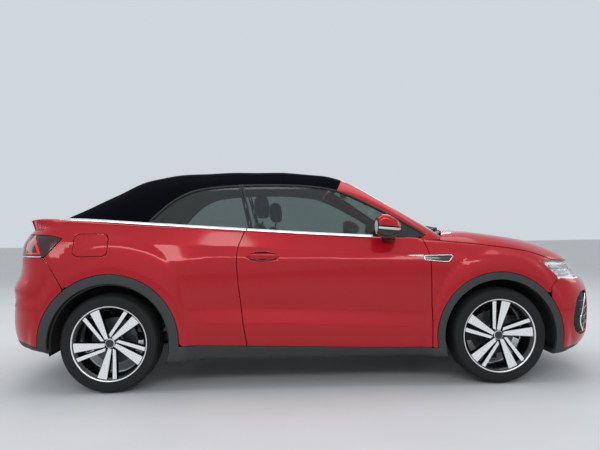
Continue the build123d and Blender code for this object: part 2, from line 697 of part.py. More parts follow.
with BuildPart() as rear_bench:
    side_cut(BENCH, Mode.ADD, half_width=600)
    twin_blocks((-930, -640), (130, 560), (FLOOR_Z[1], 450))
    twin_blocks((-1130, -1045), (210, 450), (1075, 1180))
finish(rear_bench, "rear_bench")

# ---- wheels ---------------------------------------------------------------------------------------
for axle, side, name in WHEELS:
    with BuildPart() as tyre:
        hub_turned(TYRE, axle, side)
    finish(tyre, f"tyre_{name}")

    with BuildPart() as rim:
        hub_turned(BARREL, axle, side)
        hub_turned(HAT, axle, side)
        hub_turned(DISC, axle, side)
        with BuildSketch(hub_plane(axle, side, SPOKE_BACK)) as spokes:
            Circle(RIM_HUB)
            with PolarLocations(0, SPOKE_PAIRS, start_angle=90):
                for blade in (WIDE_BLADE, NARROW_BLADE):
                    Polygon(*blade, align=None)
        extrude(spokes.sketch, amount=SPOKE_DEPTH)
        with BuildSketch(hub_plane(axle, side, -60)) as bore:
            Circle(SPINDLE_RADIUS + 0.05)
        extrude(bore.sketch, amount=SPINDLE_LENGTH - 28, mode=Mode.SUBTRACT)
    finish(rim, f"rim_{name}")

for side, name in SIDES:
    with BuildPart() as knuckle:
        with BuildSketch(hub_plane(FRONT_AXLE, side, UPRIGHT_IN)) as upright:
            Circle(72)
            with Locations((0, 55)):
                Rectangle(50, 82, align=(Align.CENTER, Align.MIN))
            with Locations((0, -50)):
                Rectangle(50, 98, align=(Align.CENTER, Align.MAX))
        extrude(upright.sketch, amount=UPRIGHT_WALL)
        caliper_y = sorted((side * (HALF_TRACK - 80), side * (HALF_TRACK - 12)))
        bracket_y = sorted((side * (HALF_TRACK - 88), side * (HALF_TRACK - 66)))
        block((FRONT_AXLE - 190, FRONT_AXLE - 96), caliper_y, (HUB_Z - 50, HUB_Z + 50))
        hub_turned(DISC_ROOM, FRONT_AXLE, side, Mode.SUBTRACT)
        block((FRONT_AXLE - 130, FRONT_AXLE), bracket_y, (HUB_Z - 40, HUB_Z + 40))
        with BuildSketch(hub_plane(FRONT_AXLE, side, UPRIGHT_IN)) as spindle:
            Circle(SPINDLE_RADIUS)
        extrude(spindle.sketch, amount=SPINDLE_LENGTH)
    finish(knuckle, f"knuckle_{name}")
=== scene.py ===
"""Looks of a compact crossover car with a fabric soft top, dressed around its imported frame.

Shapes are worked out in millimetres in the frame's axes (+X forward, +Y left, +Z up) and
become metres when a mesh is made. The painted body is one smooth surface, cut into panels.
"""

import json
import logging
import math
from collections.abc import Callable, Sequence
from dataclasses import dataclass, field
from enum import Enum

import bmesh
import bpy
import numpy as np
from mathutils import Matrix, Vector


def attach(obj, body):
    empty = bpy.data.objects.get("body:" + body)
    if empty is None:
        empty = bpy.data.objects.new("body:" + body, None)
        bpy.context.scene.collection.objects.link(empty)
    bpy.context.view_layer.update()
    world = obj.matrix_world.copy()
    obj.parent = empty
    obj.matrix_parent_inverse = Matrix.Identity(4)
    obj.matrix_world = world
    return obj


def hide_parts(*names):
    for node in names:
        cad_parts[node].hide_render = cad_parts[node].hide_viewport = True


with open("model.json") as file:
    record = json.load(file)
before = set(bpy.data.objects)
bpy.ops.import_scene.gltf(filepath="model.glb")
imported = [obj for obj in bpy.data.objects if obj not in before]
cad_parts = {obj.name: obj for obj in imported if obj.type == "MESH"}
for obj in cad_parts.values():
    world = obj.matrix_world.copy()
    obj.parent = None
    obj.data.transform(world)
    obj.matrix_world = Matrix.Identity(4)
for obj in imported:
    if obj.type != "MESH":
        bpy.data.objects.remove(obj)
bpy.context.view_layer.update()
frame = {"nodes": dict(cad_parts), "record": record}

LOG = logging.getLogger("convertible_car")
MILLI = 0.001
NORMAL_STEP = 0.4
SHARP_ANGLE = math.radians(38)
RAY_HALVINGS = 22

Field = Callable[[np.ndarray], np.ndarray]
Knots = Sequence[tuple[float, float]]
Outline = Sequence[tuple[float, float]]


class Side(Enum):
    """The two sides of the car, as the sign of Y."""

    LEFT = 1
    RIGHT = -1

    @property
    def word(self) -> str:
        """The side's name as the frame writes it."""
        return self.name.lower()


# ---- curves and fields ---------------------------------------------------------------------------
class Spline:
    """A natural cubic curve through (place, value) knots, straight beyond its ends."""

    def __init__(self, knots: Knots) -> None:
        """Solve the curve's second derivatives.

        Args:
            knots: Pairs of place and value, in rising order of place.
        """
        self.x, self.y = np.array(knots, float).reshape(-1, 2).T
        count = len(self.x)
        self.h = np.diff(self.x)
        system, right = np.eye(count), np.zeros(count)
        for i in range(1, count - 1):
            system[i, i - 1:i + 2] = self.h[i - 1], 2 * (self.h[i - 1] + self.h[i]), self.h[i]
            rise = (self.y[i + 1] - self.y[i]) / self.h[i] - (self.y[i] - self.y[i - 1]) / self.h[i - 1]
            right[i] = 6 * rise
        self.m = np.linalg.solve(system, right)

    def __call__(self, at: np.ndarray) -> np.ndarray:
        """The curve's values.

        Args:
            at: Places.

        Returns:
            The value at each place.
        """
        at = np.asarray(at, float)
        if len(self.x) == 1:
            return np.full(at.shape, self.y[0])
        i = np.clip(np.searchsorted(self.x, at) - 1, 0, len(self.h) - 1)
        held = np.clip(at, self.x[0], self.x[-1])
        b = (held - self.x[i]) / self.h[i]
        a = 1 - b
        value = a * self.y[i] + b * self.y[i + 1]
        value += ((a ** 3 - a) * self.m[i] + (b ** 3 - b) * self.m[i + 1]) * self.h[i] ** 2 / 6
        first = (self.y[1] - self.y[0]) / self.h[0] - self.h[0] * self.m[1] / 6
        last = (self.y[-1] - self.y[-2]) / self.h[-1] + self.h[-1] * self.m[-2] / 6
        return value + np.minimum(at - self.x[0], 0) * first + np.maximum(at - self.x[-1], 0) * last


def soft_ramp(t: np.ndarray, width: float) -> np.ndarray:
    """Nought below nought and t above it, rounded over a width.

    Args:
        t: Distances along the ramp.
        width: Breadth of the rounding.

    Returns:
        The rounded ramp.
    """
    return 0.5 * (t + np.sqrt(t * t + width * width))


def smooth_max(a: np.ndarray, b: np.ndarray, width: np.ndarray | float) -> np.ndarray:
    """The larger of two fields with their meeting edge rounded.

    Args:
        a: First field.
        b: Second field.
        width: Breadth of the rounding.

    Returns:
        The rounded maximum.
    """
    near = np.maximum(width - np.abs(a - b), 0)
    return np.maximum(a, b) + near * near / (4 * width)


def gradient(function: Field, points: np.ndarray, step: float = NORMAL_STEP) -> np.ndarray:
    """A field's gradient by central differences.

    Args:
        function: The field.
        points: Places, one a row.
        step: Half of each difference.

    Returns:
        The gradient at each point.
    """
    result = np.empty_like(points)
    for axis in range(3):
        nudge = np.zeros(3)
        nudge[axis] = step
        result[:, axis] = (function(points + nudge) - function(points - nudge)) / (2 * step)
    return result


def unit(vectors: np.ndarray) -> np.ndarray:
    """Vectors scaled to length one."""
    return vectors / np.maximum(np.linalg.norm(vectors, axis=1, keepdims=True), 1e-9)


def places(x: np.ndarray | float, y: np.ndarray | float, z: np.ndarray | float) -> np.ndarray:
    """Rows of x, y and z, a single number repeated to the length of the others."""
    return np.stack(np.broadcast_arrays(*(np.asarray(part, float) for part in (x, y, z))), 1)


def outline_distance(u: np.ndarray, v: np.ndarray, outline: Outline) -> np.ndarray:
    """Signed distance to a closed outline in a plane.

    Args:
        u: First coordinates.
        v: Second coordinates.
        outline: Corner points in order.

    Returns:
        Distances, negative inside.
    """
    best = np.full(u.shape, 1e12)
    inside = np.zeros(u.shape, bool)
    for (ax, ay), (bx, by) in zip(outline, [*outline[1:], outline[0]]):
        ex, ey = bx - ax, by - ay
        wx, wy = u - ax, v - ay
        t = np.clip((wx * ex + wy * ey) / (ex * ex + ey * ey), 0, 1)
        best = np.minimum(best, (wx - ex * t) ** 2 + (wy - ey * t) ** 2)
        crosses = (ay > v) != (by > v)
        inside ^= crosses & (u < ax + (v - ay) * ex / (ey or 1e-9))
    return np.where(inside, -1, 1) * np.sqrt(best)


def side_view(outline: Outline, grow: float = 0.0) -> Field:
    """The region inside an outline given in x and z, with corners rounded by grow."""
    return lambda p: outline_distance(p[:, 0], p[:, 2], outline) - grow


def end_view(outline: Outline, grow: float = 0.0) -> Field:
    """The region inside an outline given in the distance from the centre line and z."""
    return lambda p: outline_distance(np.abs(p[:, 1]), p[:, 2], outline) - grow


def slab(axis: int, low: float = -1e5, high: float = 1e5) -> Field:
    """The region between two limits of one coordinate, Y counted from the centre line.

    Args:
        axis: 0, 1 or 2 for X, Y or Z.
        low: The lower limit in millimetres.
        high: The upper limit in millimetres.

    Returns:
        The field, negative between the limits.
    """
    def value(p: np.ndarray) -> np.ndarray:
        """Distance beyond the nearer limit."""
        c = np.abs(p[:, 1]) if axis == 1 else p[:, axis]
        return c - high if axis == 1 and low <= 0 else np.maximum(low - c, c - high)
    return value


def on_side(side: Side) -> Field:
    """The region on one side of the car."""
    return lambda p: -side.value * p[:, 1]


def both(*regions: Field) -> Field:
    """The overlap of regions, which keeps its parts so that cuts meet in sharp corners.

    Args:
        regions: The regions that overlap.

    Returns:
        The field, negative inside them all.
    """
    value = lambda p: np.maximum.reduce([region(p) for region in regions])  # noqa: E731
    value.parts = [part for region in regions for part in getattr(region, "parts", [region])]
    return value


def either(*regions: Field) -> Field:
    """The union of regions, which keeps its choices.

    Args:
        regions: The regions to unite.

    Returns:
        The field, negative inside any of them.
    """
    value = lambda p: np.minimum.reduce([region(p) for region in regions])  # noqa: E731
    value.choices = [part for region in regions for part in getattr(region, "choices", [region])]
    return value


def without(region: Field) -> Field:
    """Everywhere outside a region.

    Args:
        region: The region to leave out.

    Returns:
        The field, negative outside it.
    """
    value = lambda p: -region(p)  # noqa: E731
    if hasattr(region, "choices"):
        value.parts = [without(choice) for choice in region.choices]
    return value


# ---- mesh cutting --------------------------------------------------------------------------------
@dataclass
class Skin:
    """A triangle mesh that lies on a field's zero surface.

    Attributes:
        surface: The field, nought on the skin and negative inside.
        points: Corner points in millimetres.
        faces: Corner numbers of each triangle, seen anticlockwise from outside.
    """

    surface: Field
    points: np.ndarray
    faces: np.ndarray

    def settle(self, rounds: int = 1) -> None:
        """Move the points back onto the surface along its gradient.

        Args:
            rounds: How many times to correct the points.
        """
        for _ in range(rounds):
            slope = gradient(self.surface, self.points)
            size = np.maximum((slope ** 2).sum(1), 1e-6)
            self.points = self.points - slope * (self.surface(self.points) / size)[:, None]

    def tidy(self) -> None:
        """Drop the points that no face uses."""
        used, place = np.unique(self.faces, return_inverse=True)
        self.points, self.faces = self.points[used], place.reshape(-1, 3)

    def divide(self, value: np.ndarray) -> np.ndarray:
        """Split the triangles along a field's zero line, in place.

        Args:
            value: The field at each point.

        Returns:
            For each new triangle, whether it lies on the negative side.
        """
        value = np.where(np.abs(value) < 1e-4, -1e-4, value)
        negative = value < 0
        count = negative[self.faces].sum(1)
        mixed = self.faces[(count == 1) | (count == 2)]
        if not len(mixed):
            return count == 3
        lone = negative[mixed] == (count[(count == 1) | (count == 2)] == 1)[:, None]
        first = np.argmax(lone, 1)
        corner = mixed[np.arange(len(mixed))[:, None], (first[:, None] + np.arange(3)) % 3]
        ends = np.sort(np.concatenate([corner[:, [0, 1]], corner[:, [0, 2]]]), axis=1)
        edges, which = np.unique(ends, axis=0, return_inverse=True)
        a, b = value[edges[:, 0]], value[edges[:, 1]]
        t = (a / (a - b))[:, None]
        made = self.points[edges[:, 0]] * (1 - t) + self.points[edges[:, 1]] * t
        base, half = len(self.points), len(mixed)
        near, far = base + which.reshape(-1)[:half], base + which.reshape(-1)[half:]
        tips = np.stack([corner[:, 0], near, far], 1)
        rest = np.concatenate([
            np.stack([near, corner[:, 1], corner[:, 2]], 1), np.stack([near, corner[:, 2], far], 1),
        ])
        tip_in = negative[corner[:, 0]]
        kept = (count == 0) | (count == 3)
        self.points = np.concatenate([self.points, made])
        self.faces = np.concatenate([self.faces[kept], tips, rest])
        return np.concatenate([count[kept] == 3, tip_in, ~tip_in, ~tip_in])

    def part(self, region: Field, inset: float) -> "Skin":
        """The piece of the skin inside a region, stopping short of its edge.

        Args:
            region: Distance field, negative inside.
            inset: How far inside the edge the piece stops.

        Returns:
            The new skin.
        """
        value = region(self.points) + inset
        keep = (value[self.faces] < 0).any(1)
        piece = Skin(self.surface, self.points, self.faces[keep])
        piece.tidy()
        for part in getattr(region, "parts", [region]):
            inside = piece.divide(part(piece.points) + inset)
            piece.faces = piece.faces[inside]
            piece.tidy()
        return piece


def box_rays(xs: np.ndarray, ys: np.ndarray, zs: np.ndarray) -> tuple[np.ndarray, np.ndarray]:
    """A box's six gridded faces as triangles.

    Args:
        xs: Grid places along X.
        ys: Grid places along Y.
        zs: Grid places along Z.

    Returns:
        The points and the triangles, facing outward.
    """
    sizes = (len(xs), len(ys), len(zs))
    quads = []
    for axis in range(3):
        u, v = (axis + 1) % 3, (axis + 2) % 3
        iu, iv = np.meshgrid(np.arange(sizes[u] - 1), np.arange(sizes[v] - 1), indexing="ij")
        for end, order in ((sizes[axis] - 1, (0, 1, 2, 3)), (0, (3, 2, 1, 0))):
            corners = []
            for du, dv in ((0, 0), (1, 0), (1, 1), (0, 1)):
                index = [None, None, None]
                index[axis] = np.full(iu.size, end)
                index[u], index[v] = iu.ravel() + du, iv.ravel() + dv
                corners.append((index[0] * sizes[1] + index[1]) * sizes[2] + index[2])
            quads.append(np.stack([corners[k] for k in order], 1))
    quads = np.concatenate(quads)
    keys, place = np.unique(quads, return_inverse=True)
    quads = place.reshape(-1, 4)
    points = np.stack([
        xs[keys // (sizes[1] * sizes[2])], ys[keys // sizes[2] % sizes[1]], zs[keys % sizes[2]],
    ], 1).astype(float)
    return points, np.concatenate([quads[:, [0, 1, 2]], quads[:, [0, 2, 3]]])


def shrink_wrap(surface: Field, core: Callable[[np.ndarray], np.ndarray], points: np.ndarray,
                faces: np.ndarray, rounds: int = 16) -> Skin:
    """Draw a box's grid in along rays until it lies on a surface.

    Args:
        surface: Field, negative inside.
        core: Gives the inner end of each point's ray.
        points: The box's points, all outside the surface.
        faces: The box's triangles.
        rounds: Steps of the root search.

    Returns:
        The skin.
    """
    inner = core(points)
    low, high = np.zeros(len(points)), np.ones(len(points))
    at_low, at_high = surface(inner), surface(points)
    last, best, nearest = np.zeros(len(points), int), np.full(len(points), 1e9), np.ones(len(points))
    for step in range(rounds):
        share = at_low / np.minimum(at_low - at_high, -1e-9)
        t = low + (high - low) * (np.clip(share, 0.02, 0.98) if step % 3 else 0.5)
        value = surface(inner + (points - inner) * t[:, None])
        out, closer = value > 0, np.abs(value) < best
        best, nearest = np.where(closer, np.abs(value), best), np.where(closer, t, nearest)
        at_low = np.where(out & (last == 1), at_low * 0.5, at_low)
        at_high = np.where(~out & (last == -1), at_high * 0.5, at_high)
        high, at_high = np.where(out, t, high), np.where(out, value, at_high)
        low, at_low = np.where(out, low, t), np.where(out, at_low, value)
        last = np.where(out, 1, -1)
    skin = Skin(surface, inner + (points - inner) * nearest[:, None], faces)
    skin.settle()
    return skin


# ---- the car's main surfaces ---------------------------------------------------------------------
FRONT_AXLE, REAR_AXLE, HUB_HEIGHT, HALF_TRACK = 1284.5, -1345.5, 328.0, 773.0


@dataclass
class Arch:
    """One wheel arch: a flat lip round the opening and a raised muscle above it.

    Attributes:
        axle: X of the wheel's axis.
        opening: Radius of the wheel opening.
        cladding: Outer radius of the black cladding.
        lip: Outer radius of the flat painted lip.
        muscle: Radius where the muscle turns in, against the angle from straight up, forward positive.
        slope: How fast the muscle's face leans in.
        drop: How fast it turns in beyond its edge.
        edge: Breadth of that edge's rounding.
        face: Half-width of the lip.
    """

    axle: float
    opening: float
    cladding: float
    lip: float
    muscle: Spline
    slope: float
    drop: float
    edge: float
    face: float = 903.0

    def radius(self, x: np.ndarray, z: np.ndarray) -> np.ndarray:
        """Distance from the wheel's axis in the side view."""
        return np.hypot(x - self.axle, z - HUB_HEIGHT)

    def half_width(self, x: np.ndarray, z: np.ndarray) -> np.ndarray:
        """Half-width of the raised surface.

        Args:
            x: Places along the car.
            z: Heights.

        Returns:
            Distance from the centre line.
        """
        r = self.radius(x, z)
        angle = np.degrees(np.arctan2(x - self.axle, np.maximum(z - HUB_HEIGHT, -900)))
        edge = self.muscle(np.clip(angle, -75, 75))
        low = soft_ramp(r - self.lip, 7)
        return self.face - self.slope * low - self.drop * soft_ramp(r - edge, self.edge)

    def ring(self, radius: float) -> Field:
        """The region nearer to the axis than a radius."""
        return lambda p: self.radius(p[:, 0], p[:, 2]) - radius


@dataclass
class BodySurface:
    """The painted body below the belt, as one field.

    Attributes:
        rows: For each line along the side, its heights, half-widths and softness.
        plan: Widening or narrowing of the whole side along the car.
        top: Height of the centre line's top.
        top_round: Rounding between side and top along the car.
        nose: X of the front at each height.
        nose_plan: How far the nose falls back at each distance from the middle.
        tail: Distance back to the tail at each height.
        tail_plan: How far the tail falls forward at each distance from the middle.
        crown: Fall of the top at 600 mm from the centre line.
        bottom: Height of the lower edge along the car.
        arches: The front and the rear wheel arch.
    """

    rows: list[tuple[Spline, Spline, float]] = field(default_factory=lambda: [
        (Spline([(-1900, 225), (0, 205), (1700, 200)]), Spline([(0, 838)]), 10),
        (Spline([(-1700, 318), (-880, 303), (803, 259), (1700, 255)]), Spline([(0, 869)]), 12),
        (Spline([(-1700, 378), (-880, 363), (803, 318), (1700, 312)]), Spline([(0, 881)]), 25),
        (Spline([(-1800, 470), (-935, 456), (-546, 449), (259, 423), (803, 399), (1700, 385)]),
         Spline([(0, 889)]), 4),
        (Spline([(-1700, 560), (-850, 545), (-544, 552), (260, 524), (803, 500), (1700, 490)]),
         Spline([(-1345, 888), (-880, 876), (-560, 867), (400, 867), (760, 872), (1284, 888)]), 16),
        (Spline([(-1700, 660), (1700, 640)]), Spline([(0, 885)]), 40),
        (Spline([(-1700, 790), (1700, 760)]), Spline([(0, 889)]), 50),
        (Spline([(-1700, 900), (-882, 868), (-640, 896), (-474, 893), (0, 880), (700, 850), (1284, 815),
                 (1700, 790)]),
         Spline([(-1700, 880), (-882, 880), (-474, 880), (0, 883), (700, 887), (1284, 884), (1700, 880)]), 8),
        (Spline([(-1700, 1015), (-975, 979), (-488, 952), (-186, 935), (131, 913), (676, 885), (968, 862),
                 (1284, 850), (1700, 830)]),
         Spline([(-1700, 846), (-975, 850), (-640, 838), (-474, 838), (0, 856), (300, 867), (700, 878),
                 (1284, 878), (1700, 872)]), 4),
        (Spline([(-1985, 1150), (-1642, 1156), (-1201, 1128), (-738, 1098), (-432, 1081), (-70, 1056),
                 (439, 1025), (800, 1000), (1284, 960), (1700, 900)]),
         Spline([(-1985, 765), (-1642, 780), (-1201, 796), (-432, 800), (439, 806), (800, 825), (1284, 858),
                 (1700, 850)]), 30),
    ])
    plan: Spline = field(default_factory=lambda: Spline([
        (-2135, -48), (-2060, -25), (-1940, -3), (-1760, 0), (0, 0), (1500, 0), (1700, -2),
        (1880, -12), (2000, -50), (2135, -120)]))
    top: Spline = field(default_factory=lambda: Spline([
        (-2135, 1130), (-1990, 1160), (-1900, 1177), (-1780, 1181), (-1642, 1172), (-1201, 1133), (-432, 1085),
        (439, 1031), (780, 1030), (1010, 1060), (1300, 1036), (1640, 978), (1850, 918), (1985, 858),
        (2085, 790), (2135, 740)]))
    top_round: Spline = field(default_factory=lambda: Spline([
        (-2135, 26), (-1642, 26), (-1200, 12), (700, 12), (880, 90), (1100, 190), (1640, 180), (2135, 120)]))
    nose: Spline = field(default_factory=lambda: Spline([
        (150, 1960), (205, 2035), (250, 2085), (320, 2120), (430, 2133), (560, 2131), (640, 2113),
        (700, 2078), (760, 2052), (810, 2036), (862, 2005), (900, 1955), (1000, 1790)]))
    nose_plan: Spline = field(default_factory=lambda: Spline([
        (-300, 14), (0, 0), (300, 14), (500, 42), (600, 78), (700, 135), (780, 190), (860, 250), (960, 330)]))
    tail: Spline = field(default_factory=lambda: Spline([
        (150, 1900), (205, 1975), (240, 2012), (281, 2064), (335, 2104), (420, 2126), (550, 2127),
        (640, 2125), (690, 2130), (738, 2110), (790, 2086), (840, 2075), (900, 2073), (1000, 2058),
        (1040, 2032), (1085, 1985), (1112, 1962), (1140, 2018), (1165, 2030)]))
    tail_plan: Spline = field(default_factory=lambda: Spline([
        (-300, 8), (0, 0), (300, 8), (500, 28), (600, 52), (700, 92), (780, 135), (860, 185), (960, 250)]))
    crown: float = 18.0
    bottom: Spline = field(default_factory=lambda: Spline(
        [(-2135, 298), (-1860, 288), (-1760, 278), (-1720, 262), (-1680, 232), (-1640, 206), (-1600, 198),
        (-1550, 198), (-1450, 198), (-1200, 198), (-600, 198), (800, 198), (2135, 198)]))
    arches: tuple[Arch, Arch] = field(default_factory=lambda: (
        Arch(FRONT_AXLE, 384, 436, 481, Spline([(-75, 470), (-52, 500), (-40, 538), (-20, 552), (8, 550),
        (31, 536), (48, 500), (75, 470)]), 0.16, 0.60, 14),
        Arch(REAR_AXLE, 398, 461, 515, Spline([(-75, 500), (-45, 545), (-28, 630), (-8, 660), (20, 660),
        (36, 655), (46, 610), (58, 530), (75, 500)]), 0.13, 0.62, 16),))

    def half_width(self, x: np.ndarray, z: np.ndarray) -> np.ndarray:
        """Half-width of the side at each place.

        Args:
            x: Places along the car.
            z: Heights.

        Returns:
            Distance from the centre line to the side.
        """
        heights = [height(x) for height, _, _ in self.rows]
        widths = [width(x) for _, width, _ in self.rows]
        slopes = [(widths[i + 1] - widths[i]) / (heights[i + 1] - heights[i]) for i in range(len(heights) - 1)]
        base = widths[0] + slopes[0] * (z - heights[0])
        for i in range(1, len(slopes)):
            base = base + (slopes[i] - slopes[i - 1]) * soft_ramp(z - heights[i], self.rows[i][2])
        for arch in self.arches:
            near = np.abs(x - arch.axle) < 900
            raised = np.where(near, arch.half_width(x, z), -1e4)
            base = smooth_max(base, raised, 9.0)
        cup = np.clip(-outline_distance(x, z, HANDLE) / 13, 0, 1)
        return base + self.plan(x) - 22 * cup * cup * (3 - 2 * cup)

    def value(self, p: np.ndarray) -> np.ndarray:
        """The field: nought on the body and negative inside.

        Args:
            p: Points, one a row.

        Returns:
            The field at each point.
        """
        x, y, z = p[:, 0], np.abs(p[:, 1]), p[:, 2]
        solid = y - self.half_width(x, z)
        lean = 1 + 0.5 * np.clip((z - 690) / 150, 0, 1)
        front = x - self.nose(z) + self.nose_plan(y) * lean
        back = -x - self.tail(z) + self.tail_plan(y)
        roof = z - self.top(x) + self.crown * (np.minimum(y, 560 + 200 * (x > 760)) / 600) ** 2
        solid = smooth_max(solid, np.where(x > 0, front, back), 150.0)
        solid = smooth_max(solid, roof, np.maximum(self.top_round(x), 10))
        return smooth_max(solid, self.bottom(x) - z, 30.0)


@dataclass
class RoofSurface:
    """The greenhouse above the belt: leaning sides, crowned top and curved windscreen.

    Attributes:
        side: Half-width of the side at each height.
        plan: Narrowing of the side along the car.
        top: Height of the centre line.
        crown: Fall of the top at 600 mm from the centre line.
        shoulder: Rounding between side and top along the car.
        screen_foot: Lower end of the windscreen's centre line, x and z.
        screen_head: Upper end of it.
        screen_radius: Radius of the windscreen's curve across the car.
        underside: Height at which the form is closed, hidden in the body.
    """

    side: Spline = field(default_factory=lambda: Spline([
        (1000, 822), (1085, 783), (1240, 701), (1398, 606), (1500, 540)]))
    plan: Spline = field(default_factory=lambda: Spline([
        (-1850, -58), (-1640, -26), (-1300, -4), (-900, 0), (300, 0), (700, -4), (950, -12)]))
    top: Spline = field(default_factory=lambda: Spline([
        (-1850, 1130), (-1775, 1168), (-1600, 1253), (-1464, 1320), (-1303, 1404), (-1209, 1450),
        (-1080, 1486), (-930, 1506), (-680, 1518), (-420, 1522), (-180, 1517), (-20, 1506),
        (180, 1480), (300, 1456), (500, 1400)]))
    crown: float = 26.0
    shoulder: Spline = field(default_factory=lambda: Spline([
        (-1800, 120), (-1300, 170), (-900, 150), (0, 120), (180, 90), (300, 60), (900, 46)]))
    screen_foot: tuple[float, float] = (1010.0, 1058.0)
    screen_head: tuple[float, float] = (330.0, 1449.0)
    screen_radius: float = 3430.0
    underside: float = 970.0

    def screen(self, p: np.ndarray) -> np.ndarray:
        """Distance out from the windscreen's curved face.

        Args:
            p: Points, one a row.

        Returns:
            Signed distances.
        """
        dx = self.screen_head[0] - self.screen_foot[0]
        dz = self.screen_head[1] - self.screen_foot[1]
        long = math.hypot(dx, dz)
        out = ((p[:, 0] - self.screen_foot[0]) * dz - (p[:, 2] - self.screen_foot[1]) * dx) / long
        return np.hypot(p[:, 1], out + self.screen_radius) - self.screen_radius

    def value(self, p: np.ndarray) -> np.ndarray:
        """The field: nought on the greenhouse and negative inside.

        Args:
            p: Points, one a row.

        Returns:
            The field at each point.
        """
        x, y, z = p[:, 0], np.abs(p[:, 1]), p[:, 2]
        lean = (y - self.side(z) - self.plan(x)) * 0.87
        over = z - self.top(x) + self.crown * (y / 600) ** 2
        over = over / np.sqrt(1 + 0.27 * np.clip((-1000 - x) / 300, 0, 1))
        shell = smooth_max(over, self.screen(p), 60.0)
        return np.maximum(smooth_max(lean, shell, self.shoulder(x)), self.underside - z)


# ---- mesh making ---------------------------------------------------------------------------------
def mesh_object(name: str, points: np.ndarray, faces: Sequence[Sequence[int]], finish: bpy.types.Material,
                normals: np.ndarray | None = None, uv: np.ndarray | None = None) -> bpy.types.Object:
    """Make a mesh object from millimetres.

    Args:
        name: The piece's name.
        points: Corner points.
        faces: Corner numbers of each face, seen anticlockwise from outside.
        finish: The material.
        normals: A normal for each face corner, or None for Blender's own.
        uv: A pattern coordinate for each point, or None.

    Returns:
        The object, at the origin.
    """
    mesh = bpy.data.meshes.new(name)
    points = np.asarray(points, float) * MILLI
    if isinstance(faces, np.ndarray):
        mesh.vertices.add(len(points))
        mesh.vertices.foreach_set("co", points.ravel())
        mesh.loops.add(faces.size)
        mesh.loops.foreach_set("vertex_index", faces.astype(np.int32).ravel())
        mesh.polygons.add(len(faces))
        mesh.polygons.foreach_set("loop_start", np.arange(0, faces.size, faces.shape[1], dtype=np.int32))
        mesh.update(calc_edges=True)
    else:
        mesh.from_pydata(points.tolist(), [], faces)
    mesh.materials.append(finish)
    mesh.shade_smooth()
    if uv is not None:
        lay_pattern(mesh, uv)
    if normals is not None:
        mesh.normals_split_custom_set(normals.astype(np.float32))
    made = bpy.data.objects.new(name, mesh)
    bpy.context.scene.collection.objects.link(made)
    return made


def vertex_rows(mesh: bpy.types.Mesh, what: str = "co") -> np.ndarray:
    """One vector for each vertex of a mesh: its place in metres or its normal.

    Args:
        mesh: The mesh.
        what: "co" for places or "normal" for normals.

    Returns:
        One row for each vertex.
    """
    values = np.empty(len(mesh.vertices) * 3)
    mesh.vertices.foreach_get(what, values)
    return values.reshape(-1, 3)


def lay_pattern(mesh: bpy.types.Mesh, uv: np.ndarray) -> None:
    """Store a pattern coordinate for each vertex as the mesh's UV map.

    Args:
        mesh: The mesh.
        uv: One row of two numbers for each vertex.
    """
    corners = np.empty(len(mesh.loops), np.int32)
    mesh.loops.foreach_get("vertex_index", corners)
    layer = mesh.uv_layers.new(name="pattern")
    layer.data.foreach_set("uv", uv[corners].astype(np.float32).ravel())


def settle_piece(piece: bpy.types.Object, body: str,
        replaces: Sequence[str] = ()) -> bpy.types.Object:
    """Put a finished piece on its body and hide the frame's nodes that it stands for.

    Args:
        piece: The piece.
        body: The body it rides on.
        replaces: The frame's nodes it stands for.

    Returns:
        The piece.
    """
    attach(piece, body)
    if replaces:
        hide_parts(*replaces)
    LOG.info("%s: %d triangles on %s", piece.name, len(piece.data.loops) - 2 * len(piece.data.polygons), body)
    return piece


def rim_edges(faces: np.ndarray) -> np.ndarray:
    """The open edges of a triangle mesh, as pairs in the order of their faces.

    Args:
        faces: Corner numbers of each triangle.

    Returns:
        One row of two corner numbers for each open edge.
    """
    edges = faces[:, [0, 1, 1, 2, 2, 0]].reshape(-1, 2)
    size = int(faces.max()) + 1
    forward, backward = edges[:, 0] * size + edges[:, 1], edges[:, 1] * size + edges[:, 0]
    return edges[~np.isin(forward, backward)]


@dataclass
class Panel:
    """A piece of a skin with a rounded edge and a wall behind it.

    Attributes:
        name: The piece's name.
        skin: The skin it is cut from.
        region: Where it lies on the skin.
        finish: Its material.
        gap: How far its edge stays inside the region.
        edge: Radius of the rounded edge.
        wall: Thickness.
        lift: How far it stands off the skin, negative inward.
    """

    name: str
    skin: Skin
    region: Field
    finish: bpy.types.Material
    gap: float = 2.2
    edge: float = 2.5
    wall: float = 14.0
    lift: float = 0.0

    def build(self) -> bpy.types.Object:
        """Cut the panel, round its edge and give it its wall.

        Returns:
            The panel's closed mesh.
        """
        piece = self.skin.part(self.region, self.gap)
        for share in (0.3, 1.0):
            if self.edge:
                piece.divide(self.region(piece.points) + self.gap + share * self.edge)
        piece.tidy()
        piece.settle(2)
        up = unit(gradient(piece.surface, piece.points))
        points, outer = piece.points + up * self.lift, up.copy()
        if self.edge:
            depth = -(self.region(piece.points) + self.gap)
            near = depth < self.edge - 1e-3
            across = gradient(self.region, piece.points[near])
            across -= (across * up[near]).sum(1, keepdims=True) * up[near]
            tilt = np.clip((self.edge - depth[near]) / self.edge, 0, 1)[:, None]
            rise = np.sqrt(1 - tilt * tilt)
            points[near] -= up[near] * self.edge * (1 - rise)
            outer[near] = unit(up[near] * (rise + 0.05) + unit(across) * tilt)
        back = piece.points + up * (self.lift - self.wall)
        return shell_object(self.name, points, outer, back, -up, piece.faces, self.finish)


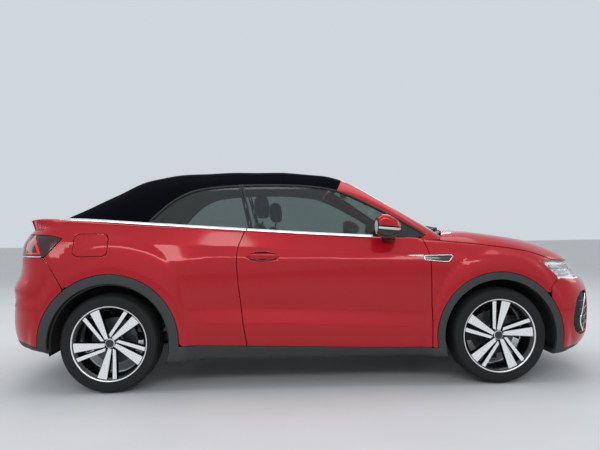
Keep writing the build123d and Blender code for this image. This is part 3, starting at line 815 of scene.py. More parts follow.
def shell_object(name: str, points: np.ndarray, normals: np.ndarray, back: np.ndarray, back_normals: np.ndarray,
        faces: np.ndarray, finish: bpy.types.Material, uv: np.ndarray | None = None) -> bpy.types.Object:
    """Close a front and a back layer of the same faces into one shell.

    Args:
        name: The piece's name.
        points: Front points.
        normals: Front normals.
        back: Back points, one behind each front point.
        back_normals: Back normals.
        faces: Triangles of the front.
        finish: The material.
        uv: A pattern coordinate for each front point, or None.

    Returns:
        The closed mesh.
    """
    count = len(points)
    rim = rim_edges(faces)
    a, b = rim[:, 0], rim[:, 1]
    strips = np.concatenate([np.stack([b, a, a + count], 1), np.stack([b, a + count, b + count], 1)])
    behind = faces[:, ::-1] + count
    every = np.concatenate([faces, behind, strips])
    corners = np.concatenate([points, back])
    flat = unit(np.cross(corners[strips[:, 1]] - corners[strips[:, 0]],
        corners[strips[:, 2]] - corners[strips[:, 0]]))
    loops = np.concatenate([normals[faces].reshape(-1, 3), back_normals[faces[:, ::-1]].reshape(-1, 3),
        np.repeat(flat, 3, 0)])
    if uv is not None:
        uv = np.concatenate([uv, uv])
    return mesh_object(name, corners, every, finish, loops, uv)


# ---- finishes ------------------------------------------------------------------------------------
def linear(hex_colour: str) -> tuple[float, float, float, float]:
    """A linear colour from an sRGB hex value.

    Args:
        hex_colour: Six hex digits after a hash.

    Returns:
        Red, green, blue and full alpha.
    """
    parts = [int(hex_colour[i:i + 2], 16) / 255 for i in (1, 3, 5)]
    return (*[c / 12.92 if c <= 0.04045 else ((c + 0.055) / 1.055) ** 2.4 for c in parts], 1.0)


def add_node(tree: bpy.types.NodeTree, kind: str, inputs: dict | None = None,
        **settings: object) -> bpy.types.Node:
    """Add one node with its settings, input values and links.

    Args:
        tree: The tree that takes the node.
        kind: The node's type.
        inputs: Values or sockets to link, by input name or number.
        **settings: Properties of the node.

    Returns:
        The node.
    """
    made = tree.nodes.new(kind)
    for key, value in settings.items():
        setattr(made, key, value)
    for key, value in (inputs or {}).items():
        if isinstance(value, bpy.types.NodeSocket):
            tree.links.new(value, made.inputs[key])
        else:
            made.inputs[key].default_value = value
    return made


class Texture(Enum):
    """The small relief and colour change that a finish can have."""

    ORANGE_PEEL = "orange peel"
    GRAIN = "moulded grain"
    WEAVE = "plain weave"
    KNIT = "knitted cloth"
    TURNED = "lathe rings"
    CAST = "cast skin"
    LEATHER = "leather grain"
    SMOOTH = "smooth"


@dataclass(frozen=True)
class Finish:
    """One material: its colour, its shader values and its relief.

    Attributes:
        name: The real material and how its surface was made.
        colour: sRGB hex of the surface.
        second: sRGB hex that the pattern mixes in.
        roughness: Principled roughness.
        texture: The relief.
        size: Real size of the relief's cells in millimetres.
        height: Depth of the relief in millimetres.
        metallic: 1 for bare metal.
        coat: Strength of the clear coat.
        sheen: Strength of the fabric sheen.
        transmission: 1 for clear glass or plastic.
        ior: Index of refraction, None for the default.
        glow: Strength of light given off.
        specular: Principled specular level under any coat.
        alpha: Below 1 for a thin clear cover.
        coat_roughness: Roughness of the clear coat.
    """

    name: str
    colour: str
    second: str = ""
    roughness: float = 0.5
    texture: Texture = Texture.SMOOTH
    size: float = 2.0
    height: float = 0.1
    metallic: float = 0.0
    coat: float = 0.0
    sheen: float = 0.0
    transmission: float = 0.0
    ior: float | None = None
    glow: float = 0.0
    specular: float = 0.5
    alpha: float = 1.0
    coat_roughness: float = 0.03

    def build(self) -> bpy.types.Material:
        """Make the node material.

        Returns:
            The material.
        """
        material = bpy.data.materials.new(self.name)
        material.use_nodes = True
        tree = material.node_tree
        tree.nodes.clear()
        shader = add_node(tree, "ShaderNodeBsdfPrincipled", {
            "Base Color": linear(self.colour), "Metallic": self.metallic, "Roughness": self.roughness,
            "Coat Weight": self.coat, "Coat Roughness": self.coat_roughness, "Sheen Weight": self.sheen,
            "Transmission Weight": self.transmission, "Specular IOR Level": self.specular, "Alpha": self.alpha,
        })
        if self.ior:
            shader.inputs["IOR"].default_value = self.ior
        if self.glow:
            shader.inputs["Emission Color"].default_value = linear(self.colour)
            shader.inputs["Emission Strength"].default_value = self.glow
        add_node(tree, "ShaderNodeOutputMaterial", {"Surface": shader.outputs[0]})
        height, mask = self.relief(tree)
        if height is not None:
            bump = add_node(tree, "ShaderNodeBump", {"Height": height, "Distance": self.height * MILLI,
                "Strength": 1.0})
            target = "Coat Normal" if self.texture is Texture.ORANGE_PEEL else "Normal"
            tree.links.new(bump.outputs[0], shader.inputs[target])
        if mask is not None:
            second = self.second or self.colour
            mix = add_node(tree, "ShaderNodeMix", {"Factor": mask}, data_type="RGBA")
            mix.inputs[6].default_value, mix.inputs[7].default_value = linear(self.colour), linear(second)
            tree.links.new(mix.outputs[2], shader.inputs["Base Color"])
            spread = add_node(tree, "ShaderNodeMapRange", {
                "Value": mask, "To Min": max(self.roughness - 0.05, 0.02), "To Max": self.roughness + 0.07})
            tree.links.new(spread.outputs[0], shader.inputs["Roughness"])
        return material

    def relief(self, tree: bpy.types.NodeTree) -> tuple[bpy.types.NodeSocket | None,
            bpy.types.NodeSocket | None]:
        """The height and colour patterns.

        Args:
            tree: The material's tree.

        Returns:
            The height socket and the mask socket, either of which may be None.
        """
        place = add_node(tree, "ShaderNodeTexCoord")
        at, per_metre = place.outputs["Object"], 1000.0 / self.size
        if self.texture is Texture.ORANGE_PEEL:
            # flakes are far finer than the render shows, so they are drawn as a faint mottle
            peel = add_node(tree, "ShaderNodeTexNoise", {"Vector": at, "Scale": per_metre, "Detail": 1.0})
            mottle = add_node(tree, "ShaderNodeTexNoise", {"Vector": at, "Scale": 900.0, "Detail": 2.0})
            return peel.outputs[0], mottle.outputs[0]
        if self.texture in (Texture.GRAIN, Texture.LEATHER, Texture.KNIT):
            cells = add_node(tree, "ShaderNodeTexVoronoi", {"Vector": at, "Scale": per_metre},
                             feature="DISTANCE_TO_EDGE" if self.texture is Texture.LEATHER else "SMOOTH_F1")
            patches = add_node(tree, "ShaderNodeTexNoise", {"Vector": at, "Scale": 9.0, "Detail": 4.0})
            return cells.outputs[0], patches.outputs[0]
        if self.texture is Texture.CAST:
            skin = add_node(tree, "ShaderNodeTexNoise", {"Vector": at, "Scale": per_metre, "Detail": 6.0})
            return skin.outputs[0], skin.outputs[0]
        if self.texture is Texture.WEAVE:
            uv = place.outputs["UV"]
            waves = [add_node(tree, "ShaderNodeTexWave", {
                "Vector": uv, "Scale": per_metre / 2, "Distortion": 0.25, "Detail": 1.0, "Detail Scale": 2.0},
                bands_direction=axis) for axis in ("X", "Y")]
            cross = add_node(tree, "ShaderNodeMath", {0: waves[0].outputs[1], 1: waves[1].outputs[1]},
                operation="MULTIPLY")
            wear = add_node(tree, "ShaderNodeTexNoise", {"Vector": at, "Scale": 5.0, "Detail": 5.0})
            tone = add_node(tree, "ShaderNodeMath", {0: cross.outputs[0], 1: wear.outputs[0]},
                operation="MULTIPLY")
            return cross.outputs[0], tone.outputs[0]
        if self.texture is Texture.TURNED:
            rings = add_node(tree, "ShaderNodeTexWave", {"Vector": place.outputs["UV"], "Scale": per_metre / 2,
                "Distortion": 0.4}, bands_direction="X")
            return rings.outputs[1], rings.outputs[1]
        return None, None


class Finishes:
    """Every material of the car, made once."""

    def __init__(self) -> None:
        """Build the materials."""
        make = lambda *values, **more: Finish(*values, **more).build()  # noqa: E731
        # sprayed metallic red under clear lacquer: a deep red body with hard, bright reflections
        self.paint = make(
            "metallic_red_lacquered_paint", "#a80716", "#b50d1d", 0.36, Texture.ORANGE_PEEL, 9, 0.010,
            metallic=0.3, coat=0.75, coat_roughness=0.09, specular=0.1)
        # injection-moulded polypropylene with a fine spark-eroded grain: dull charcoal
        self.cladding = make("polypropylene_moulded_grain", "#2b2d2f", "#353739", 0.55, Texture.GRAIN, 2.2,
            0.10)
        # polished black ABS trim: a deep black mirror
        self.piano = make("abs_polished_black", "#08090a", "#0d0e10", 0.12, Texture.CAST, 40, 0.01, coat=0.6)
        # extruded rubber seal: soft black with no highlight
        self.seal = make("epdm_extruded_seal", "#111213", "#1b1c1d", 0.7, Texture.CAST, 3, 0.05)
        # bright anodised aluminium trim strip: white-silver and almost mirror-like
        self.bright = make(
            "aluminium_polished_anodised", "#e6e8ea", "#f2f3f4", 0.16, Texture.CAST, 30, 0.01, metallic=1.0)
        # acrylic canvas roof: black plain weave without shine, threads drawn coarser than real
        self.canvas = make(
            "acrylic_canvas_woven_black", "#05060b", "#0d0f16", 0.9, Texture.WEAVE, 4.0, 0.35, specular=0.03)
        # tempered glass tinted in the melt: a grey-green see-through sheet
        self.glass = make("tempered_glass_tinted", "#9eaaa5", roughness=0.0, transmission=1.0, ior=1.52)
        # laminated windscreen glass: nearly clear, with a trace of green
        self.screen_glass = make("laminated_glass_clear", "#c9d4cf", roughness=0.0, transmission=1.0, ior=1.52)
        # black enamel fired on the screen's edge: an even, glossy black border
        self.frit = make("enamel_fired_black_on_glass", "#0b0c0d", "#101112", 0.18, Texture.CAST, 25, 0.01)
        # tyre tread compound: charcoal, slightly chalky
        self.rubber = make(
            "rubber_moulded_tyre", "#161718", "#1f2021", 0.7, Texture.CAST, 6, 0.12, specular=0.3)
        # wheel faces cut bright on a lathe under lacquer: silver with fine rings, drawn coarser than real
        self.turned = make(
            "aluminium_diamond_turned", "#f2f3f4", "#ffffff", 0.26, Texture.TURNED, 1.6, 0.02,
            metallic=0.85, coat=0.5)
        # cast wheel body sprayed gloss black: dark, with a soft rolling highlight
        self.wheel_black = make(
            "aluminium_cast_gloss_black", "#0b0b0c", "#121213", 0.22, Texture.CAST, 12, 0.03, coat=0.7)
        # brake disc turned from cast iron: grey with fine rings, drawn coarser than real
        self.iron = make(
            "cast_iron_turned_disc", "#55575a", "#6b6d70", 0.4, Texture.TURNED, 2.0, 0.03, metallic=1.0)
        # zinc-plated casting: a mottled dull grey
        self.caliper = make(
            "cast_iron_zinc_plated", "#6e6f70", "#57585a", 0.5, Texture.CAST, 5, 0.2, metallic=0.8)
        # pressed steel under black wax: near-black with brownish, uneven patches
        self.steel = make("steel_pressed_black_wax", "#1c1d1e", "#2a2826", 0.6, Texture.CAST, 9, 0.25)
        # needled felt: matt charcoal with a tufted surface
        self.floor_carpet = make("felt_needled_underlay", "#121314", "#202224", 0.95, Texture.CAST, 4, 0.8)
        # sand-cast aluminium: pale grey and pebbled
        self.alloy = make("aluminium_sand_cast", "#8c8e90", "#77797b", 0.5, Texture.CAST, 4, 0.35, metallic=1.0)
        # rolled stainless steel: warm grey with broad, faint clouds
        self.stainless = make(
            "stainless_steel_rolled", "#9a9b9b", "#86827c", 0.33, Texture.CAST, 22, 0.06, metallic=1.0)
        # plate blank under white film: a clean, slightly glossy white
        self.plate = make(
            "aluminium_plate_white_film", "#e9e9e6", "#f4f4f2", 0.35, Texture.GRAIN, 1.5, 0.02)
        # knitted roof lining: pale warm grey, soft and even
        self.headliner = make(
            "knitted_headliner_pale", "#dcd3c8", "#e2dad0", 0.75, Texture.LEATHER, 2.0, 0.08)
        # fabric pressed over foam: mid grey with a fine grain
        self.trim_grey = make(
            "foam_backed_fabric_pressed_grey", "#a09a93", "#aaa49d", 0.6, Texture.LEATHER, 2.4, 0.12)
        # grained cabin plastic: matt black with a leather-like grain
        self.trim_black = make(
            "polypropylene_fine_grain_cabin", "#17181a", "#202124", 0.62, Texture.LEATHER, 2.0, 0.12)
        # knitted seat cloth: dark grey loops with a soft sheen at the edges, drawn coarser than real
        self.cloth = make(
            "polyester_seat_cloth_knitted", "#26282b", "#3a3d41", 0.9, Texture.KNIT, 3.2, 0.5, sheen=0.3)
        # embossed leatherette: black with a satin shine on the grain
        self.leather = make("leatherette_embossed_black", "#1a1b1d", "#232427", 0.48, Texture.LEATHER, 2.6,
            0.15)
        # clear polycarbonate lamp cover with hard coat: all but invisible, with sharp highlights
        self.lens = make("polycarbonate_hard_coated_clear", "#f2f5f6", roughness=0.02, alpha=0.14, coat=0.5)
        # smoked red acrylic: a deep wine red that looks black in shade
        self.red_lens = make("acrylic_smoked_red", "#3a070c", "#2a0508", 0.1, Texture.CAST, 30, 0.01, coat=0.5)
        # vapour-aluminised lamp bowl: pale silver, softly reflecting
        self.lamp_silver = make(
            "polycarbonate_vapour_aluminised", "#e2e4e6", "", 0.4, Texture.CAST, 60, 0.0, metallic=0.5)
        # smoked lamp modules: dark grey under a clear shine
        self.lamp_dark = make(
            "polycarbonate_smoke_tinted", "#1a1c1f", "#25282c", 0.2, Texture.CAST, 8, 0.03, coat=0.5)
        # white light guide: a bright, even line
        self.light_guide = make(
            "acrylic_light_guide_white", "#f4f6f8", "#e2e6ea", 0.15, Texture.CAST, 10, 0.02, glow=0.35)
        # red light guide: a clear red that seems lit
        self.red_glow = make("acrylic_light_guide_red", "#d0101c", "#e02030", 0.2, Texture.CAST, 8, 0.02,
            glow=0.5)


# ---- the painted body ----------------------------------------------------------------------------
def stepped(*spans: tuple[float, float, float]) -> np.ndarray:
    """Grid places from spans of (start, end, spacing)."""
    parts = [np.linspace(a, b, max(2, round((b - a) / step) + 1)) for a, b, step in spans]
    return np.unique(np.round(np.concatenate(parts), 3))


LAMP = ((1596, 832), (1650, 775), (1712, 716), (1830, 702), (1945, 689), (2200, 672), (2200, 780), (1980, 802),
    (1900, 812), (1800, 827), (1690, 834))
TAIL_LAMP = ((-1659, 1031), (-1764, 906), (-2200, 900), (-2200, 1056), (-1853, 1058), (-1740, 1050))
HANDLE = ((-430, 894), (-402, 912), (-350, 921), (-290, 920), (-240, 909), (-209, 893), (-240, 873),
    (-290, 861), (-350, 859), (-402, 871))
VENT = ((771, 884), (771, 852), (905, 838), (940, 838), (972, 876), (960, 886))


@dataclass
class Body:
    """The painted panels, claddings and lamps.

    Attributes:
        finishes: The materials.
        form: The body's surface.
        core_top: Height at which the inner ends of the wrapping rays stop.
        door_front: Front shut line of the door in side view, from the top.
        door_rear: Rear shut line of the door, from the bottom.
        bonnet_edge: Lower edge of the bonnet in side view.
        bonnet_rear: X of the bonnet's rear corners.
        bonnet_bow: How far the middle of the bonnet's rear edge lies in front of them.
    """

    finishes: Finishes
    form: BodySurface = field(default_factory=BodySurface)
    core_top: Spline = field(default_factory=lambda: Spline(
        [(-2150, 560), (-1900, 800), (-1700, 960), (-900, 985), (700, 930), (1000, 880), (1400, 780),
        (1800, 620), (2150, 560)]))
    door_front: Outline = ((768, 1010), (784, 972), (798, 936), (808, 902), (814, 867), (818, 720), (819, 575),
        (817, 420), (813, 262), (813, 205))
    door_rear: Outline = ((-435, 205), (-435, 300), (-446, 370), (-460, 452), (-476, 599), (-488, 700),
        (-495, 793), (-499, 850), (-498, 904), (-494, 935), (-488, 963), (-470, 1005), (-432, 1088))
    bonnet_edge: Outline = ((800, 990), (890, 983), (973, 973), (1105, 960), (1240, 943), (1380, 924),
        (1514, 899), (1610, 868), (1690, 838), (1830, 831), (1900, 818), (1980, 808), (2100, 797), (2200, 790))
    bonnet_rear: float = 868.0
    bonnet_bow: float = 184.0

    def core(self, p: np.ndarray) -> np.ndarray:
        """Inner ends of the rays that find the body's surface.

        Args:
            p: Points of the outer grid.

        Returns:
            A point inside the body for each.
        """
        x = np.clip(p[:, 0], -1830, 1760)
        return np.stack([x, np.clip(p[:, 1], -560, 560), np.clip(p[:, 2], 420, self.core_top(x))], 1)

    @staticmethod
    def grid(times: float) -> tuple[np.ndarray, np.ndarray, np.ndarray]:
        """Places of the wrapped grid, closer at the creases, along X, Y and Z.

        Args:
            times: How many times wider the spacing is than the close grid's.

        Returns:
            The places along X, Y and Z, in millimetres.
        """
        xs = stepped((-2160, -1900, 19 * times), (-1900, 1900, 29 * times), (1900, 2160, 19 * times))
        half = stepped((0, 560, 56 * times), (560, 960, 28 * times))
        zs = stepped((140, 330, 24 * times), (330, 620, 15 * times), (620, 830, 25 * times),
            (830, 1030, 14 * times), (1030, 1250, 20 * times))
        return xs, np.unique(np.concatenate([-half, half])), zs

    def wrap(self) -> None:
        """Make the body's skins: a close one for what shows and a rough one for what lies behind it."""
        self.skin, self.rough = (shrink_wrap(self.form.value, self.core, *box_rays(*self.grid(times)))
            for times in (1.0, 1.6))
        LOG.info("body skins: %d and %d points", len(self.skin.points), len(self.rough.points))
        front, rear = self.form.arches
        self.front, self.rear = front, rear
        side = slab(1, 640)
        self.openings = either(*[both(arch.ring(arch.opening), side) for arch in (front, rear)])
        foot = self.form.rows[1][0]
        sill = both(lambda p: p[:, 2] - foot(p[:, 0]), slab(0, -1660, 1648), side)
        lower_tail = both(lambda p: p[:, 2] - (304 + 0.15 * (-1720 - p[:, 0])), slab(0, -2300, -1600))
        lower_nose = both(slab(2, 0, 236), slab(0, 1600, 2300))
        rings = either(*[both(arch.ring(arch.cladding), side) for arch in (front, rear)])
        self.black = either(rings, sill, lower_tail, lower_nose)
        self.black_side = both(either(rings, sill), without(self.openings))

    def door_outline(self) -> Outline:
        """The door's shut line with a square top above the belt."""
        return [*self.door_front[::-1], (768, 1200), (-432, 1200), *self.door_rear[::-1]]

    def panel(self, name: str, region: Field, body: str, finish: bpy.types.Material | None = None,
            slot: str = "paint_red", replaces: Sequence[str] = (), hidden: bool = False,
            **sizes: float) -> bpy.types.Object:
        """Cut one panel and put it on its body.

        Args:
            name: The piece's name.
            region: Where it lies.
            body: The body it rides on.
            finish: Its material, red paint if not given.
            slot: Its material slot; not used.
            replaces: The nodes it stands for.
            hidden: Whether the rough skin is enough.
            **sizes: Gap, edge, wall and lift of the panel.

        Returns:
            The piece.
        """
        piece = Panel(name, self.rough if hidden else self.skin, region, finish or self.finishes.paint,
            **sizes).build()
        return settle_piece(piece, body, replaces)

    def build(self) -> None:
        """Make every panel."""
        self.wrap()
        painted = without(self.black)
        lamp = both(side_view(LAMP), slab(1, 430, 990), slab(0, 1500))
        tail_lamp = both(side_view(TAIL_LAMP), slab(1, 480))
        bonnet_side = both(side_view([*self.bonnet_edge, (2200, 1300), (740, 1300), (768, 1010)]), slab(0, 760))
        bow = lambda p: self.bonnet_bow * (1 - (p[:, 1] / 900) ** 2)  # noqa: E731
        bonnet_plan = lambda p: self.bonnet_rear + bow(p) - p[:, 0]  # noqa: E731
        bonnet = both(bonnet_side, bonnet_plan, slab(2, 700))
        nose_split = side_view(((1715, 716), (1700, 711), (1640, 656), (1640, 100), (2300, 100), (2300, 690),
            (1830, 706)))
        lid = both(slab(0, -2300, -1790), either(both(slab(1, 0, 690), slab(2, 1048)),
            both(slab(1, 0, 480), slab(2, 792))))
        tail_split = side_view(((-1641, 708), (-1768, 906), (-2300, 900), (-2300, 100), (-1641, 100)))
        tail_face = both(tail_split, without(lid))
        grille = self.grille_regions()
        self.bonnet_region, self.lid_region = bonnet, lid
        self.panel("bonnet_skin", bonnet, "bonnet_body", replaces=("bonnet",))
        fender = both(slab(0, 700, 1760), slab(1, 640), without(bonnet_side),
            without(side_view(self.door_outline())), without(nose_split), without(lamp), painted)
        self.panel("front_fender_skins", fender, "body", replaces=("front_fenders",))
        door = both(side_view(self.door_outline()), painted, slab(1, 700), slab(2, 200, 1160))
        belt = self.form.rows[-1][0]
        door = both(door, lambda p: p[:, 2] - belt(p[:, 0]) - 3)
        for side in Side:
            self.panel(f"door_{side.word}_skin", both(door, on_side(side)), f"door_{side.word}_body",
                replaces=(f"door_{side.word}",))
        quarter = both(slab(0, -2300, -380), slab(1, 600), slab(2, 250, 1300),
            without(side_view(self.door_outline())), without(tail_split), without(tail_lamp), without(lid),
            painted)
        flap = both(side_view(((-1541, 949), (-1541, 1019), (-1391, 1019), (-1391, 949)), 40),
            on_side(Side.RIGHT), slab(1, 600))
        swing = lambda p: -1790 + 13 * np.maximum(0, 1 - (p[:, 1] / 600) ** 2) - p[:, 0]  # noqa: E731
        deck = both(swing, slab(0, -1800, -1640), slab(2, 1100))
        quarter = both(either(quarter, deck), without(flap))
        quarter = both(quarter, either(lambda p: p[:, 2] - belt(p[:, 0]) - 3, slab(0, -2300, -1600)))
        self.panel("rear_quarter_skins", quarter, "body", replaces=("rear_quarters",), wall=6)
        self.panel("fuel_flap_skin", flap, "fuel_flap_body", replaces=("fuel_flap",), gap=1.4, edge=1.5, wall=6)
        self.panel("boot_lid_skin", lid, "boot_lid_body", replaces=("boot_lid",), wall=7)
        self.panel("rear_bumper_skin", both(tail_face, painted, without(grille["rear_plate"]),
            without(grille["reflectors"])), "body", replaces=("rear_bumper",))
        self.panel("front_bumper_skin", both(nose_split, painted, without(grille["slot"]),
            without(grille["mouth"]), without(grille["corners"]), without(grille["plate"])), "body",
            replaces=("front_bumper",))
        self.panel("nose_panel_skin", both(side_view([(1690, 700), (2300, 690), (2300, 760),
            *self.bonnet_edge[::-1][:4]]), slab(1, 0, 430), slab(0, 1850), without(grille["slot"])), "body")
        cladding = self.finishes.cladding
        self.panel("arch_and_sill_claddings", self.black_side, "body", cladding, "plastic_black",
            ("sill_claddings",), wall=26, gap=0.8, lift=1.5, edge=5)
        self.liners()
        self.panel("front_skirt_skin", both(self.black, slab(0, 1632, 2300), without(self.black_side),
            without(self.openings)), "body", cladding, "plastic_black", ("front_skirt",), gap=0.8)
        self.panel("rear_skirt_skin", both(self.black, slab(0, -2300, -1600), without(self.black_side),
            without(self.openings)), "body", cladding, "plastic_black", ("rear_skirt",), gap=0.8)
        self.panel("tail_lamp_lenses", tail_lamp, "body", self.finishes.red_lens, "lamp_red", ("tail_lamps",),
            gap=1.6)
        self.panel("headlamp_lenses", lamp, "body", self.finishes.lens, "lamp_clear", ("headlamps",), gap=1.6,
            wall=4)
        self.panel("headlamp_bowls", lamp, "body", self.finishes.lamp_silver, "lamp_clear", gap=4, wall=6,
            lift=-34, edge=0)
        for name in ("slot", "mouth", "corners"):
            self.panel(f"grille_{name}_mesh", grille[name], "body", self.finishes.seal, "plastic_black",
                ("grille",) if name == "mouth" else (), gap=1.0, lift=-24, edge=0, wall=8)

    def liners(self) -> None:
        """A moulded liner in each wheel arch: a curved roof and an upright inner wall above the suspension."""
        for word, arch in (("front", self.front), ("rear", self.rear)):
            low = 250 - HUB_HEIGHT
            radius = arch.opening + 6
            turn = np.linspace(math.asin(low / radius), math.pi - math.asin(low / radius), 80)
            for side in Side:
                s = side.value
                path = places(arch.axle + radius * np.cos(turn), s * 667.0, HUB_HEIGHT + radius * np.sin(turn))
                out = places(np.cos(turn), 0.0, np.sin(turn))
                roof = swept(f"{word}_arch_liner_{side.word}", path, oval(4, 374, 12, 20), self.finishes.seal,
                    out=out)
                settle_piece(roof, "body")
                start = math.asin((425 - HUB_HEIGHT) / radius)
                rim = [(arch.axle + radius * math.cos(a), HUB_HEIGHT + radius * math.sin(a))
                    for a in np.linspace(start, math.pi - start, 40)]
                wall = slab_piece(f"{word}_arch_wall_{side.word}", rim, tuple(sorted((s * 476, s * 480))), 1,
                    self.finishes.seal, 0)
                settle_piece(wall, "body")

    def grille_regions(self) -> dict[str, Field]:
        """Openings in the two bumpers.

        Returns:
            Regions by name.
        """
        nose = slab(0, 1500)
        return {"slot": both(end_view(((-500, 700), (424, 700), (424, 752), (-500, 752)), 2), nose),
            "mouth": both(end_view(((-500, 300), (470, 300), (540, 440), (-500, 440)), 14), nose),
            "corners": both(side_view(((1894, 612), (1849, 578), (1826, 535), (1811, 494), (1805, 448),
            (1807, 396), (1826, 345), (1877, 316), (1990, 312), (2100, 420), (2100, 560), (1990, 612))),
            slab(1, 610), nose), "plate": both(end_view(((-300, 492), (268, 492), (268, 618), (-300, 618)), 2),
            nose), "rear_plate": both(end_view(((-300, 512), (268, 512), (268, 638), (-300, 638)), 2),
            slab(0, -2300, -1500)), "reflectors": both(end_view(
            ((600, 560), (760, 572), (760, 590), (600, 584)), 3), slab(0, -2300, -1500)),}


# ---- shaped solids -------------------------------------------------------------------------------
def swept(name: str, path: np.ndarray, section: np.ndarray, finish: bpy.types.Material,
        out: np.ndarray | tuple[float, float, float], scale: np.ndarray | None = None,
        closed: bool = False) -> bpy.types.Object:
    """Carry a closed section along a path.

    Args:
        name: The piece's name.
        path: Points of the path in millimetres.
        section: Section points as (outward, upward) offsets, anticlockwise.
        finish: The material.
        out: Outward direction, one for all or one for each path point.
        scale: Size of the section at each path point.
        closed: Whether the path returns to its start.

    Returns:
        The closed piece.
    """
    path, section = np.asarray(path, float), np.asarray(section, float)
    count, ring = len(path), len(section)
    ahead = np.roll(path, -1, 0) - np.roll(path, 1, 0) if closed else np.gradient(path, axis=0)
    ahead = unit(ahead)
    out = np.asarray(out, float)
    out = unit(out - (out * ahead).sum(1, keepdims=True) * ahead)
    up = np.cross(out, ahead)
    size = np.ones(count) if scale is None else np.asarray(scale, float)
    points = (path[:, None] + size[:, None, None] * (section[None, :, :1] * out[:, None] + section[None, :, 1:]
        * up[:, None])).reshape(-1, 3)
    faces = net(count, ring, closed).tolist()
    if not closed:
        faces += [list(range(ring))[::-1], [(count - 1) * ring + k for k in range(ring)]]
    return turned_out(mesh_object(name, points, faces, finish))


def lay(name: str, path: np.ndarray, section: np.ndarray, finish: bpy.types.Material,
        out: np.ndarray | tuple[float, float, float], body: str = "body", slot: str = "plastic_black",
        **shape: object) -> bpy.types.Object:
    """Sweep a section along a path and put the piece on its body."""
    return settle_piece(swept(name, path, section, finish, out, **shape), body)


def net(rows: int, ring: int, closed_rows: bool, closed_ring: bool = True) -> np.ndarray:
    """The four-cornered faces between neighbouring rows of points.

    Args:
        rows: Number of rows.
        ring: Points in each row.
        closed_rows: Whether the last row joins the first.
        closed_ring: Whether each row's last point joins its first.

    Returns:
        Corner numbers, four to a face.
    """
    i, j = np.meshgrid(np.arange(rows if closed_rows else rows - 1),
        np.arange(ring if closed_ring else ring - 1), indexing="ij")
    here, ahead, beyond = i * ring, (i + 1) % rows * ring, (j + 1) % ring
    return np.stack([here + j, here + beyond, ahead + beyond, ahead + j], -1).reshape(-1, 4)


def turned_out(piece: bpy.types.Object) -> bpy.types.Object:
    """Turn a closed mesh's faces outward and mark its sharp edges.

    Args:
        piece: The piece, its mesh closed.

    Returns:
        The same piece.
    """
    shape = bmesh.new()
    shape.from_mesh(piece.data)
    bmesh.ops.remove_doubles(shape, verts=shape.verts, dist=1e-6)
    bmesh.ops.recalc_face_normals(shape, faces=shape.faces)
    for edge in shape.edges:
        edge.smooth = len(edge.link_faces) == 2 and edge.calc_face_angle(0.0) < SHARP_ANGLE
    shape.to_mesh(piece.data)
    shape.free()
    return piece


def oval(width: float, height: float, power: float = 2.0, count: int = 16) -> np.ndarray:
    """A closed superellipse section.

    Args:
        width: Full breadth.
        height: Full height.
        power: 2 for an ellipse, more for a rounded box.
        count: Number of points.

    Returns:
        The section's points.
    """
    t = np.linspace(0, 2 * np.pi, count, endpoint=False)
    c, s = np.cos(t), np.sin(t)
    return np.stack([np.sign(c) * np.abs(c) ** (2 / power) * width / 2,
        np.sign(s) * np.abs(s) ** (2 / power) * height / 2], 1)


def land(surface: Field, inner: np.ndarray, outer: np.ndarray) -> np.ndarray:
    """Where the lines from inner to outer points leave a solid.

    Args:
        surface: The solid's field.
        inner: Points inside it.
        outer: Points outside it.

    Returns:
        The crossing on each line.
    """
    low, high = np.zeros(len(inner)), np.ones(len(inner))
    for _ in range(RAY_HALVINGS):
        middle = 0.5 * (low + high)
        out = surface(inner + (outer - inner) * middle[:, None]) > 0
        low, high = np.where(out, low, middle), np.where(out, middle, high)
    return inner + (outer - inner) * low[:, None]


def beside(surface: Field, xz: np.ndarray, side: Side, core: float = 300.0) -> np.ndarray:
    """Points of a side view landed on one flank of a solid."""
    inner = places(xz[:, 0], side.value * core, xz[:, 1])
    return land(surface, inner, inner * (1, 0, 1) + (0, side.value * 1100.0, 0))


def fine_skin(surface: Field, axis: int, u: tuple[float, float], v: tuple[float, float],
        span: tuple[float, float], step: float = 4.0) -> Skin:
    """A closely gridded piece of a solid's surface.

    Args:
        surface: The solid's field.
        axis: The axis along which the grid is landed.
        u: Limits of the grid in the first other axis.
        v: Limits in the second.
        span: Inner and outer place along the axis.
        step: Grid spacing.

    Returns:
        The skin.
    """
    others = [k for k in range(3) if k != axis]
    us, vs = stepped((*u, step)), stepped((*v, step))
    gu, gv = np.meshgrid(us, vs, indexing="ij")
    inner, outer = np.empty((gu.size, 3)), np.empty((gu.size, 3))
    for points, at in ((inner, span[0]), (outer, span[1])):
        points[:, axis], points[:, others[0]], points[:, others[1]] = at, gu.ravel(), gv.ravel()
    i, j = np.meshgrid(np.arange(len(us) - 1), np.arange(len(vs) - 1), indexing="ij")
    a = (i * len(vs) + j).ravel()
    b, c, d = a + len(vs), a + len(vs) + 1, a + 1
    faces = np.concatenate([np.stack([a, b, c], 1), np.stack([a, c, d], 1)])
    if (span[1] > span[0]) == (axis == 1):
        faces = faces[:, ::-1]
    return Skin(surface, land(surface, inner, outer), faces)


